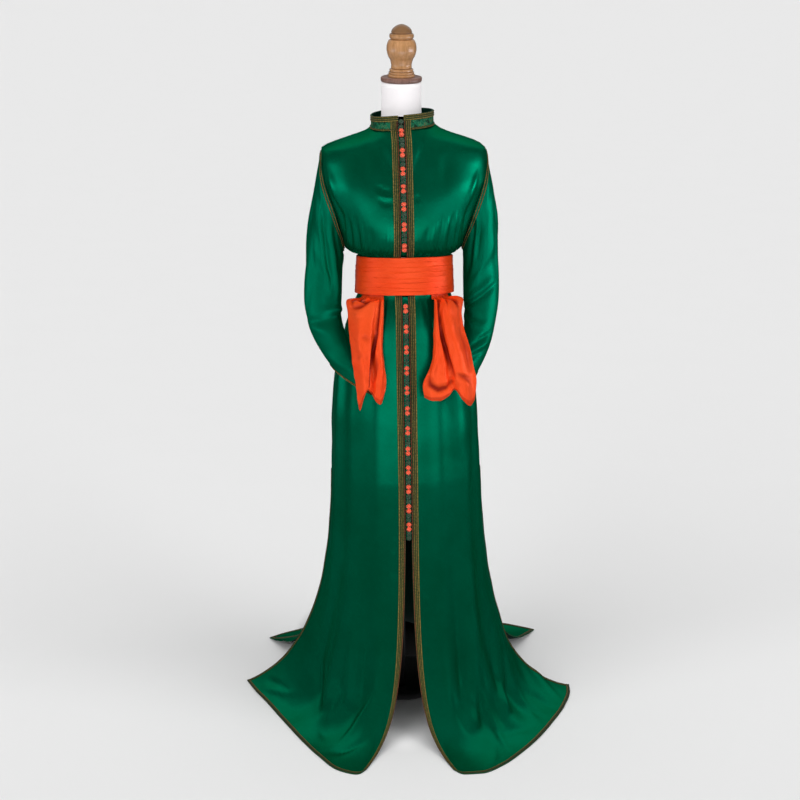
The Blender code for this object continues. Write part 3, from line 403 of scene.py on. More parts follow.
def panel(line_at, ends_at, hem, sweeps, spots, dense=97):
    """Rows of a panel from neck to hem, and its cloth coordinates; spots gives each row's places."""
    lines = [line_at(z, dense) for z in ROWS_ABOVE]
    turns = np.linspace(*ends_at(FLARE_Z), dense)
    parts = np.linspace(0, 1, dense)
    columns = []
    for part, turned in zip(parts, turns):
        knee, reach, foot = (blend(sweeps, part, c) for c in (1, 2, 3))
        line = sweep(turned, hem_point(hem, part), knee, reach, foot)
        columns.append(at_length(line, np.linspace(0, run_of(line)[-1], ROWS_BELOW + 1)))
    lengths = np.array([run_of(c)[-1] for c in columns])
    lines += [np.array([c[i] for c in columns]) for i in range(1, ROWS_BELOW + 1)]
    down = [np.full(dense, z) for z in ROWS_ABOVE]
    down += [FLARE_Z - lengths * i / ROWS_BELOW for i in range(1, ROWS_BELOW + 1)]
    grid, s, v = [], [], []
    for line, drop in zip(lines, down):
        run = run_of(line)
        wants = spots(run[-1])
        grid.append(at_length(line, wants))
        s.append(wants)
        v.append(np.interp(wants, run, drop))
    return np.array(grid), np.array(s), np.array(v)


def front_panel(side, spots):
    def ends(z):
        return front_turn(z, side), seam_turn(z, side)
    return panel(lambda z, n: body_point(z, np.linspace(*ends(z), n)), ends,
                 HEM_RIGHT if side < 0 else HEM_LEFT, SWEEP_RIGHT if side < 0 else SWEEP_LEFT, spots)


def back_panel(spots):
    def ends(z):
        return seam_turn(z, RIGHT, True), seam_turn(z, LEFT, True)
    return panel(lambda z, n: body_point(z, np.linspace(*ends(z), n)), ends, HEM_BACK, SWEEP_BACK, spots, 161)


def evenly(count):
    """Places across a row, from the front edge to half a seam's gap from the other one."""
    return lambda total: np.linspace(0.0, total - SEAM_GAP / 2, count)


for side, word in SIDES:
    grid, s, v = front_panel(side, evenly(5))
    print(word, "front: hem", round(s[-1, -1], 3), "m wide, longest drop", round(NECK_Z - v.min(), 3), "m")

# %% [markdown]
# ## Colours and nodes
#
# Screen colours are given as sRGB hex and turned into the linear light that a shader works in. One
# small function adds a node with its settings and links, so each material reads as a short list.

# %% Colour and node helpers
def colour(hex_code):
    """An sRGB hex code as linear RGBA."""
    parts = [int(hex_code[k:k + 2], 16) / 255 for k in (1, 3, 5)]
    return (*[c / 12.92 if c <= 0.04045 else ((c + 0.055) / 1.055) ** 2.4 for c in parts], 1)


def node(tree, kind, links=(), stops=None, **settings):
    """Adds a node; links maps its input names to values or to other nodes' outputs."""
    new = tree.nodes.new("ShaderNode" + kind)
    for key, value in settings.items():
        setattr(new, key, value)
    for key, value in dict(links).items():
        if hasattr(value, "is_output"):
            tree.links.new(value, new.inputs[key])
        else:
            new.inputs[key].default_value = value
    if stops:
        ramp = new.color_ramp.elements
        while len(ramp) < len(stops):
            ramp.new(1.0)
        for stop, (place, shade) in zip(ramp, stops):
            stop.position, stop.color = place, shade
    return new


def new_material(name, **shader):
    """A material with only a Principled shader, and numbers set on its own sockets."""
    made = bpy.data.materials.new(name)
    made.use_nodes = True
    bsdf = made.node_tree.nodes["Principled BSDF"]
    for key, value in shader.items():
        bsdf.inputs[key.replace("_", " ")].default_value = value
    return made, made.node_tree, bsdf


print("mid grey in linear light:", round(colour("#808080")[0], 3))

# %% [markdown]
# ## Kaftan satin
#
# Satin is a weave whose long floats of smooth yarn all run one way and shine together, so a fold
# reads as a broad soft band of light. The yarn is dyed, so its shine is green too: a part-metallic
# shader gives coloured highlights. Its yarns are far finer than a render shows, so the ribs here are
# drawn at 0.8 mm, with slow slubs 6 mm long and a soft crumple some 30 mm across.
#
# The empty sleeves hang slack, so fine crumples spread their sheen, and their colour is a little
# lighter than the body's, which is painted light. The cloth's wrong side is the dull back of the
# weave, coloured near black as painted shade for the dark inside of the robe. The sash is orange
# satin, and deep in its folds its colour is painted darker, as shade. The collar is embroidered,
# and close stitches hide most of its shine.

# %% Satins
def woven_satin(name, deep, lit, rib, crumple, folded=None, **shader):
    made, tree, bsdf = new_material(name, **shader)
    uv = node(tree, "TexCoord").outputs["UV"]
    metres = node(tree, "TexCoord").outputs["Object"]
    slub = node(tree, "Mapping", {"Vector": uv, "Scale": (1250, 160, 1)})
    slubs = node(tree, "TexNoise", {"Vector": slub.outputs[0], "Scale": 1.0, "Detail": 2.0})
    tone = node(tree, "TexNoise", {"Vector": metres, "Scale": 9.0, "Detail": 3.0})
    mixed = node(tree, "Math", {0: slubs.outputs["Fac"], 1: tone.outputs["Fac"]}, operation="ADD")
    halved = node(tree, "Math", {0: mixed.outputs[0], 1: 0.5}, operation="MULTIPLY")
    ramp = node(tree, "ValToRGB", {"Fac": halved.outputs[0]},
                stops=[(0.36, colour(deep)), (0.64, colour(lit))])
    if folded:      # painted shade deep in the folds, read from the fold attribute
        inner = node(tree, "Attribute", attribute_name="fold").outputs["Fac"]
        ramp = node(tree, "Mix", {0: inner, 6: ramp.outputs["Color"], 7: colour(folded)}, data_type="RGBA")
    tree.links.new(ramp.outputs[2 if folded else 0], bsdf.inputs["Base Color"])
    fold = node(tree, "TexNoise", {"Vector": metres, "Scale": 32.0, "Detail": 2.0, "Roughness": 0.45})
    soft = node(tree, "Bump", {"Height": fold.outputs["Fac"], "Strength": crumple, "Distance": 0.004})
    fine = node(tree, "Bump", {"Height": slubs.outputs["Fac"], "Strength": rib, "Distance": 0.0003,
                               "Normal": soft.outputs["Normal"]})
    tree.links.new(fine.outputs["Normal"], bsdf.inputs["Normal"])
    return made


GREEN_SHINE = (0.05, 0.55, 0.38, 1)     # the tint of the dyed yarn's highlight, linear
satin = woven_satin("polyester_satin_green", "#00845a", "#00966c", rib=0.30, crumple=0.12,
                    Roughness=0.33, Metallic=0.90, Specular_IOR_Level=0.0, Specular_Tint=GREEN_SHINE)
# the sleeves' satin is a little lighter in colour than the body's: painted light
slack_satin_painted_lighter = woven_satin("polyester_satin_green_slack_painted_lighter", "#00885e", "#009a70", rib=0.30, crumple=0.12,
                          Roughness=0.48, Metallic=0.90, Specular_IOR_Level=0.0, Specular_Tint=GREEN_SHINE)
# the wrong side is coloured near black: painted shade for the dark inside of the robe
wrong_side_painted_dark = woven_satin("satin_wrong_side_green_painted_dark", "#002018", "#003325", rib=0.30, crumple=0.20,
                     Roughness=0.75, Specular_IOR_Level=0.1)
# the sash's folded colour is painted shade for the insides of its folds
sash_satin = woven_satin("polyester_satin_orange", "#f5400c", "#ff5a26", rib=0.30, crumple=0.30,
                         folded="#8e1604", Roughness=0.36, Metallic=0.34, Specular_IOR_Level=0.25)


def worked_cloth():
    """Satin under close embroidery: small dark and rust stitches, some 3 mm apart, over green."""
    made, tree, bsdf = new_material("embroidered_satin_green", Roughness=0.55, Metallic=0.25,
                                    Specular_IOR_Level=0.2)
    metres = node(tree, "TexCoord").outputs["Object"]
    stitch = node(tree, "TexNoise", {"Vector": metres, "Scale": 330.0, "Detail": 2.0, "Roughness": 0.6})
    patch = node(tree, "TexNoise", {"Vector": metres, "Scale": 90.0, "Detail": 1.0})
    both = node(tree, "Math", {0: stitch.outputs["Fac"], 1: patch.outputs["Fac"]}, operation="ADD")
    half = node(tree, "Math", {0: both.outputs[0], 1: 0.5}, operation="MULTIPLY")
    ramp = node(tree, "ValToRGB", {"Fac": half.outputs[0]}, stops=[
        (0.38, colour("#0b2416")), (0.47, colour("#0f5a3c")), (0.55, colour("#187a55")),
        (0.60, colour("#5a5a30")), (0.68, colour("#6e3a22"))])
    tree.links.new(ramp.outputs["Color"], bsdf.inputs["Base Color"])
    bump = node(tree, "Bump", {"Height": half.outputs[0], "Strength": 0.5, "Distance": 0.0006})
    tree.links.new(bump.outputs["Normal"], bsdf.inputs["Normal"])
    return made


embroidered = worked_cloth()
print("satins:", [made.name for made in (satin, slack_satin_painted_lighter, wrong_side_painted_dark, sash_satin, embroidered)])

# %% [markdown]
# ## Cloth pieces
#
# A flat grid from one operator is bent onto the worn surface, as cutting cloth and putting it on
# would. The UV map keeps the flat cloth's own metres. A Solidify modifier then gives the cloth its
# wall, towards the inside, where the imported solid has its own.

# %% Cloth from a grid
def outward(grid, closed=False, flip=False):
    """The direction out of the surface at every point of a grid."""
    if closed:
        across = np.roll(grid, -1, axis=1) - np.roll(grid, 1, axis=1)
    else:
        across = np.gradient(grid, axis=1)
    return unit(np.cross(across, np.gradient(grid, axis=0))) * (-1 if flip else 1)


def smooth_noise(s, v, size, seed):
    """A soft random field over the cloth, about -1 to 1, with features of one size in metres."""
    rng = np.random.default_rng(seed)
    total = 0
    for k in range(12):
        angle, phase = rng.uniform(0, math.pi), rng.uniform(0, 2 * math.pi)
        wave = 2 * math.pi / (size * rng.uniform(0.7, 1.6))
        total = total + np.sin(wave * (s * math.cos(angle) + v * math.sin(angle)) + phase)
    return total / 12 ** 0.5 / 1.4


def lay_grid(bm, grid, across, down, closed=False, flip=False, fold=None):
    """Adds a flat grid to a mesh and bends it onto the points of a grid; fold, a share of painted shade, is
    kept per point.
    """
    if closed:
        grid, across, down = (np.concatenate([a, a[:, :1]], axis=1) for a in (grid, across, down))
        across[:, -1] = across[:, -2] * 2 - across[:, -3]
    high, wide = grid.shape[:2]
    uv = bm.loops.layers.uv.get("cloth") or bm.loops.layers.uv.new("cloth")
    depth = None if fold is None else bm.verts.layers.float.new("fold")
    made = bmesh.ops.create_grid(bm, x_segments=wide - 1, y_segments=high - 1, size=0.5)["verts"]
    for vert in made:
        j, i = round((vert.co.x + 0.5) * (wide - 1)), round((0.5 - vert.co.y) * (high - 1))
        vert.co = grid[i, j]
        if fold is not None:
            vert[depth] = fold[i, j]
        for loop in vert.link_loops:
            loop[uv].uv = (across[i, j], down[i, j])
    faces = list({face for vert in made for face in vert.link_faces})
    faces.sort(key=lambda face: face.index)
    if not flip:
        bmesh.ops.reverse_faces(bm, faces=faces)
    if closed:
        bmesh.ops.remove_doubles(bm, verts=made, dist=1e-6)
    return made


def from_grid(name, grid, across, down, closed=False, flip=False, fold=None):
    bm = bmesh.new()
    lay_grid(bm, grid, across, down, closed, flip, fold)
    return as_object(name, bm)


def as_object(name, bm, smooth=True):
    mesh = bpy.data.meshes.new(name)
    bm.normal_update()
    bm.to_mesh(mesh)
    bm.free()
    mesh.polygons.foreach_set("use_smooth", [smooth] * len(mesh.polygons))
    obj = bpy.data.objects.new(name, mesh)
    bpy.context.scene.collection.objects.link(obj)
    return obj


def dress(obj, material, slot_name, *nodes, wall=None, inside=None):
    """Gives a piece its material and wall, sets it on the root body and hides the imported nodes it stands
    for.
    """
    obj.data.materials.append(material)
    if wall:
        solid = obj.modifiers.new("wall", "SOLIDIFY")
        solid.thickness, solid.offset = wall, -1.0
        if inside:
            obj.data.materials.append(inside)
            solid.material_offset = 1
    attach(obj, "root")
    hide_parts(*nodes)
    return obj


print("cloth wall:", CLOTH * 1000, "mm")

# %% [markdown]
# ## Creases
#
# Real folds don't repeat: each has its own length, depth and lean. So each one here is a row of its
# own, a line drawn on the flat cloth with a softness on either side. A positive height lifts a
# ridge and a negative one presses a trough. The ends die away. Where a skirt meets the floor it
# stands up in round rolls, and at the waist the cloth is drawn into small uneven gathers.

# %% Crease shapes
def nearest(s, v, line):
    """Distance in mm from a line on the cloth, share of the way along it, and which side it is."""
    line = np.array(line, float)
    x, y = s * 1000, v * 1000
    runs = np.concatenate([[0], np.cumsum(np.hypot(*np.diff(line, axis=0).T))])
    best, place, side = np.full(s.shape, 1e9), np.zeros_like(s), np.zeros_like(s)
    for (ax, ay), (bx, by), start in zip(line, line[1:], runs):
        dx, dy = bx - ax, by - ay
        size = math.hypot(dx, dy)
        t = np.clip(((x - ax) * dx + (y - ay) * dy) / size ** 2, 0, 1)
        away = np.hypot(x - ax - t * dx, y - ay - t * dy)
        near = away < best
        best = np.where(near, away, best)
        place = np.where(near, (start + t * size) / runs[-1], place)
        side = np.where(near, dx * (y - ay) - dy * (x - ax), side)
    return best, place, side


def creased(s, v, rows):
    """How far the creases move the cloth out at each place; sizes in the rows are millimetres."""
    out = np.zeros_like(s)
    for high, soft_a, soft_b, *line in rows:
        best, place, side = nearest(s, v, line)
        soft = np.where(side > 0, soft_a, soft_b)
        fade = np.sin(math.pi * np.clip(0.06 + 0.88 * place, 0, 1)) ** 0.7
        out += high * fade * np.exp(-(best / (soft * (0.55 + 0.45 * fade))) ** 2)
    return out / 1000


def rolls(s, v, rows):
    """Round folds that stand up where a skirt meets the floor, each with a blunt end."""
    out = np.zeros_like(s)
    for high, half, *line in rows:
        best, place, _ = nearest(s, v, line)
        across = np.clip((half - best) / (0.75 * half), 0, 1)
        grown = np.clip(place / 0.8, 0, 1)
        out += high * grown * across ** 2 * (3 - 2 * across)
    return out / 1000


def gathers(s, v, total, top, bottom, spacing, high, seed, from_top=True):
    """Small uneven gathers that start at one height and die away from it; sizes in metres."""
    chance = random.Random(seed)
    out, place = np.zeros_like(s), 0.0
    while True:
        place += spacing * chance.uniform(0.6, 1.6)
        if place > 1:
            return out
        long, soft = (top - bottom) * chance.uniform(0.35, 1.0), spacing * chance.uniform(0.22, 0.42)
        lean, rise = chance.uniform(-0.25, 0.25), high * chance.uniform(0.5, 1.3)
        gone = (top - v) / long if from_top else (v - bottom) / long
        shape = np.exp(-(((s / total) - place - lean * spacing * gone) / soft) ** 2)
        fade = np.where(gone < 0, 0, np.clip(1 - gone, 0, 1) ** 1.2)
        out += rise * shape * fade * np.clip(gone / 0.08, 0.35, 1)


# %% [markdown]
# The fronts have the most creases: drag lines from the collar, short pulls beside each knot, folds
# over the bust and long ones down the skirt.

# %% Creases of the fronts
# Each row: height, softness on either side of the line, then the line's points (across, up), in mm
FRONT_RIGHT_CREASES = [
    (-4.6, 12, 16, (64, 1472), (46, 1428), (33, 1388), (19, 1378)),
    (2.0, 12, 10, (40, 1464), (29, 1432), (21, 1404)),
    (-2.6, 16, 14, (104, 1450), (86, 1400), (80, 1350)),
    (-2.6, 5, 7, (54, 1335), (38, 1327), (20, 1325)),
    (-3.0, 6, 5, (52, 1311), (36, 1303), (18, 1301)),
    (2.2, 8, 6, (58, 1322), (40, 1315), (20, 1313)),
    (3.4, 9, 12, (178, 1368), (162, 1322), (147, 1284)),
    (-3.5, 8, 10, (164, 1300), (150, 1262), (146, 1222)),
    (2.8, 4, 6, (140, 1268), (139, 1230), (143, 1176)),
    (-3.4, 4, 5, (130, 1262), (128, 1224), (130, 1170)),
    (2.6, 5, 4, (119, 1258), (117, 1220), (118, 1172)),
    (-3.0, 5, 5, (109, 1262), (106, 1222), (105, 1170)),
    (2.0, 6, 5, (97, 1246), (94, 1214), (92, 1172)),
    (-1.8, 7, 6, (74, 1234), (70, 1206), (68, 1170)),
    (-2.0, 20, 25, (196, 1040), (176, 960), (168, 860), (170, 760), (180, 660)),
    (3.3, 11, 28, (182, 900), (185, 843), (190, 749), (199, 663), (214, 581), (246, 490)),
    (-2.2, 45, 38, (126, 930), (131, 774), (146, 620), (152, 474)),
    (2.2, 38, 42, (66, 880), (72, 790), (84, 654), (92, 500)),
    (-5.9, 20, 26, (300, 160), (296, 96), (276, 30)),
    (-4.0, 10, 12, (196, 130), (192, 70), (196, 40)),
    (7.0, 13, 10, (180, 112), (205, 65), (226, 18)),
    (5.4, 10, 18, (58, 108), (104, 38), (140, -40)),
    (-5.4, 6, 12, (160, -96), (98, -60), (58, -22)),
    (-4.5, 16, 12, (256, 10), (231, -14), (196, -44)),
    (2.3, 4, 5, (384, 12), (365, -29), (322, -60)),
    (3.3, 50, 55, (300, 300), (390, 150), (490, 34), (580, -44)),
    (-3.3, 50, 42, (230, 330), (296, 200), (352, 110)),
    (4.7, 5, 6, (566, -50), (484, -16), (376, 26)),
    (-4.3, 5, 5, (556, -26), (470, 4), (390, 14)),
    (4.0, 4, 5, (500, -46), (431, -37), (372, -40)),
    (-4.0, 6, 5, (470, -70), (400, -62), (340, -78)),
    (1.6, 4, 4, (36, 480), (20, 474)), (-1.8, 5, 4, (38, 470), (20, 464)),
    (1.8, 4, 4, (42, 448), (20, 443)), (-2.0, 5, 4, (40, 437), (20, 432)),
    (1.8, 4, 5, (42, 425), (20, 421)), (-1.8, 4, 5, (38, 414), (20, 409)),
    (1.6, 4, 5, (40, 380), (20, 376)), (-1.6, 6, 4, (38, 369), (20, 365)),
    (1.2, 5, 5, (36, 318), (20, 312)),
    (-1.4, 6, 6, (38, 246), (20, 241)),
    (1.2, 5, 6, (36, 176), (20, 171)),
]
FRONT_LEFT_CREASES = [
    (-4.4, 16, 12, (57, 1466), (43, 1428), (25, 1380), (17, 1352)),
    (1.4, 10, 12, (42, 1462), (32, 1424), (22, 1392)),
    (-2.2, 18, 16, (112, 1440), (96, 1392), (92, 1340)),
    (-2.0, 5, 4, (18, 1312), (34, 1309)),
    (3.6, 10, 8, (178, 1360), (162, 1318), (148, 1284)),
    (-4.0, 9, 8, (166, 1298), (156, 1258), (153, 1214)),
    (2.8, 4, 5, (124, 1264), (120, 1218), (119, 1170)), (-3.2, 5, 4, (112, 1266), (107, 1216), (104, 1168)),
    (2.6, 5, 4, (101, 1260), (95, 1212), (89, 1168)), (-2.8, 6, 5, (87, 1262), (80, 1214), (73, 1168)),
    (2.2, 5, 6, (72, 1252), (64, 1212), (57, 1168)), (-1.6, 6, 7, (52, 1240), (45, 1206), (40, 1170)),
    (2.4, 4, 4, (138, 1256), (134, 1214), (134, 1170)),
    (-2.2, 20, 22, (60, 900), (54, 774), (54, 629), (58, 480)),
    (2.8, 35, 38, (112, 880), (117, 774), (118, 620), (108, 470)),
    (1.9, 10, 15, (164, 860), (166, 714), (162, 637), (148, 560)),
    (-4.4, 18, 42, (136, 660), (141, 520), (150, 370), (158, 240)),
    (3.3, 28, 32, (84, 440), (96, 281), (104, 150), (96, 60)),
    (-2.8, 42, 38, (212, 480), (232, 320), (244, 190)),
    (-4.0, 14, 10, (86, 110), (92, 49), (100, 0)),
    (7.9, 14, 10, (186, 130), (203, 50), (209, -19), (196, -92)),
    (-5.0, 12, 14, (236, 74), (240, 26), (242, -20)),
    (6.5, 14, 24, (340, 190), (346, 100), (374, 18), (380, -58)),
    (-5.4, 30, 26, (390, 190), (426, 80), (440, 0)),
    (4.0, 10, 16, (500, 40), (535, -8), (536, -72)),
    (-4.0, 14, 12, (206, -44), (269, -38), (343, -56)),
    (-3.4, 5, 6, (172, -62), (141, -103), (124, -132)),
    (0.9, 4, 5, (138, 457), (189, 446), (268, 417)),
    (3.2, 16, 14, (430, -70), (400, -20), (340, 24)), (-2.5, 12, 12, (480, -84), (455, -30), (400, 20)),
    (1.8, 4, 5, (18, 478), (36, 468)), (-2.0, 5, 4, (18, 466), (36, 456)),
    (1.8, 4, 5, (20, 378), (44, 364)), (-2.2, 5, 5, (20, 366), (42, 353)),
    (1.8, 4, 4, (20, 336), (46, 322)), (-1.6, 5, 5, (20, 326), (44, 311)),
    (1.6, 4, 5, (22, 258), (50, 243)), (-1.6, 5, 5, (20, 246), (48, 232)),
    (1.6, 5, 5, (22, 170), (48, 163)), (-1.6, 6, 5, (20, 158), (46, 150)),
]
# Rolls: height, half width, then the line down to the blunt end
FRONT_RIGHT_ROLLS = [
    (12, 46, (150, 430), (174, 318), (211, 208), (246, 119), (250, 76)),
    (11, 40, (128, 330), (138, 219), (150, 130), (150, 84)),
]
FRONT_LEFT_ROLLS = [
    (13, 44, (146, 430), (156, 300), (164, 190), (160, 100), (140, 26)),
    (10, 28, (284, 260), (298, 160), (302, 80), (276, 34)),
]

# %% [markdown]
# The back hangs from the shoulders in long flutes that spread over the train. The sleeves crease
# across the elbow and along their slack fronts.

# %% Creases of the back and the sleeves
# The back's lines are measured from its middle: minus is the wearer's right
BACK_CREASES = [
    (-3.6, 12, 16, (-52, 1440), (-30, 1370), (-26, 1300)),
    (2.6, 12, 12, (-14, 1430), (-8, 1350), (-10, 1280)),
    (-3.2, 14, 12, (60, 1446), (40, 1376), (36, 1310)), (3.0, 14, 16, (110, 1400), (84, 1320), (70, 1250)),
    (3.4, 12, 10, (-128, 1380), (-104, 1310), (-84, 1250)),
    (-3.4, 10, 12, (-146, 1330), (-122, 1270), (-108, 1210)),
    (-3.0, 12, 10, (150, 1330), (126, 1268), (112, 1206)),
    (6.5, 16, 20, (-20, 1020), (-26, 880), (-22, 700), (-34, 480), (-30, 250)),
    (-7.5, 18, 16, (-66, 1030), (-74, 860), (-84, 640), (-100, 380), (-128, 120)),
    (5.5, 18, 22, (-116, 1010), (-132, 820), (-150, 600), (-190, 340), (-250, 90)),
    (-6.5, 20, 16, (-166, 960), (-180, 760), (-214, 520), (-270, 280), (-330, 40)),
    (-8.0, 16, 20, (26, 1030), (30, 860), (26, 660), (44, 400), (40, 120)),
    (6.5, 20, 16, (72, 1020), (84, 820), (96, 600), (126, 340), (160, 40)),
    (-6.0, 16, 18, (122, 980), (136, 780), (156, 560), (204, 300), (262, 20)),
    (5.0, 18, 20, (170, 940), (192, 720), (226, 500), (286, 260), (350, 10)),
    (-9.0, 26, 20, (-60, 60), (-78, -60), (-96, -150)), (8.0, 22, 26, (6, 20), (0, -90), (14, -190)),
    (-8.0, 24, 22, (84, 30), (104, -70), (130, -170)), (7.0, 20, 26, (-190, 40), (-214, -60), (-236, -140)),
    (6.5, 24, 20, (210, 20), (236, -60), (262, -150)),
    (-5.5, 16, 20, (-330, -10), (-350, -80), (-352, -140)),
    (-5.0, 18, 16, (330, -20), (352, -90), (360, -150)),
    (3.5, 10, 12, (-96, -200), (-40, -216), (30, -210)),
    (-3.5, 12, 10, (60, -196), (130, -206), (196, -190)),
    (3.0, 10, 12, (-420, -60), (-392, -110), (-340, -150)),
]
# Sleeves: across from the front line, and minus the length down from the armhole
SLEEVE_RIGHT_CREASES = [
    (-8.1, 12, 20, (0, -30), (22, -92), (26, -160), (20, -222), (18, -252)),
    (3.6, 16, 12, (-22, -40), (-2, -110), (2, -190), (0, -240)),
    (2.7, 12, 12, (46, -30), (58, -90), (52, -170)), (-4.5, 16, 19, (66, -10), (84, -70), (78, -150)),
    (5.04, 9, 12, (12, -266), (34, -256), (76, -250)),
    (-5.04, 11, 14, (-34, -322), (4, -300), (44, -272), (70, -268)),
    (3.24, 16, 19, (-40, -340), (0, -330), (44, -310)),
    (-2.34, 19, 16, (-20, -400), (16, -380), (50, -370)),
    (2.16, 16, 16, (-30, -430), (0, -424), (30, -420)),
    (-2.7, 11, 12, (-44, -150), (-36, -230), (-40, -290)),
    (-3.6, 14, 16, (-86, -60), (-92, -150), (-84, -250)),
    (3.24, 16, 14, (-110, -80), (-118, -180), (-106, -270)),
    (-3.96, 12, 16, (-60, -318), (-96, -300), (-124, -280)),
    (2.7, 11, 11, (-70, -350), (-100, -330), (-130, -320)),
    (-3.24, 14, 14, (120, -90), (112, -180), (118, -260)),
]
SLEEVE_LEFT_CREASES = [
    (3.24, 11, 9, (40, -6), (58, -40), (62, -90)),
    (-8.1, 19, 12, (62, -8), (82, -56), (84, -120), (78, -170)),
    (-3.6, 8, 11, (36, -20), (48, -60), (46, -110)), (2.7, 16, 16, (10, -40), (14, -130), (18, -210)),
    (-5.4, 8, 11, (-34, -236), (6, -240), (44, -243), (78, -246)),
    (3.6, 11, 11, (-24, -222), (16, -226), (66, -228)),
    (-3.96, 9, 11, (84, -266), (46, -282), (10, -306)), (2.88, 11, 11, (80, -284), (44, -298), (14, -320)),
    (-5.04, 8, 11, (40, -366), (16, -356), (-10, -352)), (3.6, 9, 11, (36, -380), (10, -377), (-16, -378)),
    (-3.6, 12, 12, (44, -404), (20, -398), (0, -396)),
    (-2.7, 16, 14, (-44, -120), (-50, -200), (-44, -270)),
    (-3.6, 16, 14, (-92, -70), (-96, -160), (-90, -250)),
    (3.24, 14, 16, (-118, -60), (-122, -170), (-112, -260)),
    (-3.78, 14, 14, (-70, -300), (-104, -286), (-132, -270)),
    (2.7, 11, 12, (-64, -340), (-98, -326), (-128, -316)),
]
KAFTAN_FOLDS = (FRONT_RIGHT_CREASES, FRONT_LEFT_CREASES, FRONT_RIGHT_ROLLS, FRONT_LEFT_ROLLS,
                BACK_CREASES, SLEEVE_RIGHT_CREASES, SLEEVE_LEFT_CREASES)
print("creases and rolls placed by hand:", sum(map(len, KAFTAN_FOLDS)))

# %% [markdown]
# ## Front and back panels
#
# Each front is one piece of cloth from the collar to the floor. It gets its creases along the
# direction out of its own surface, and then no point may sink under the floor.

# %% Front panels
def on_floor(grid):
    """No trough may sink under the floor."""
    return np.concatenate([grid[..., :2], np.maximum(grid[..., 2:], HEM_Z)], axis=-1)


def on_front(grid, s, v, side):
    """A front panel's points with its creases and gathers."""
    whole = s[0, -1] > 0.05         # a braid's strip is narrower than this
    total = s[:, -1:] + SEAM_GAP / 2 if whole else front_widths(side, v)
    rows = FRONT_RIGHT_CREASES if side < 0 else FRONT_LEFT_CREASES
    out = creased(s, v, rows) + rolls(s, v, FRONT_RIGHT_ROLLS if side < 0 else FRONT_LEFT_ROLLS)
    out += gathers(s, v, total, SASH_BOTTOM, 0.90, spacing=0.085, high=0.0022, seed=11 + side)
    out += gathers(s, v, total, 1.240, 1.163, spacing=0.050, high=0.0028, seed=21 + side, from_top=False)
    out += 0.0007 * smooth_noise(s, v, 0.09, 5 + side)
    return on_floor(grid + outward(grid, flip=side > 0) * out[..., None])


def front_widths(side, v):
    grid, s, heights = front_panel(side, evenly(3))
    return np.interp(v[:, 0], heights[::-1, 0], s[::-1, -1])[:, None]


FRONTS = {}
for side, word in SIDES:
    grid, s, v = front_panel(side, evenly(100))
    grid = on_front(grid, s, v, side)
    FRONTS[side] = grid, s, v
    front = from_grid("kaftan_front_" + word, grid, s, v, flip=side > 0)
    dress(front, satin, "green_satin", "front_" + word, wall=CLOTH, inside=wrong_side_painted_dark)
    print(front.name, len(front.data.polygons), "faces")

# %% [markdown]
# The back is one piece too, and its hem runs out behind as a short train.

# %% Back panel
def on_back(grid, s, v):
    total = np.maximum(s[:, -1:], 0.01)
    middle = s - total / 2
    out = creased(middle, v, BACK_CREASES)
    out += gathers(s, v, total, SASH_BOTTOM, 0.88, spacing=0.040, high=0.0026, seed=31)
    out += gathers(s, v, total, 1.260, 1.163, spacing=0.036, high=0.0022, seed=32, from_top=False)
    out += 0.0008 * smooth_noise(s, v, 0.11, 9)
    return on_floor(grid + outward(grid) * out[..., None])


grid, s, v = back_panel(lambda total: np.linspace(SEAM_GAP / 2, total - SEAM_GAP / 2, 170))
BACK = on_back(grid, s, v), s, v
back = from_grid("kaftan_back", *BACK)
dress(back, satin, "green_satin", "back", wall=CLOTH, inside=wrong_side_painted_dark)
print(back.name, len(back.data.polygons), "faces")

# %% [markdown]
# ## Corded braid
#
# Moroccan robes are edged with narrow braid, worked in silk cords laid side by side. Each cord is
# modelled as real relief across the strip, because its shade line shows from a step away, and its
# twist is drawn by the material. The map counts cords across and metres along, so one material
# serves every braid and each cord keeps its own tone. Silk that is plied into a cord shines far less
# than satin, because its yarns run every way.

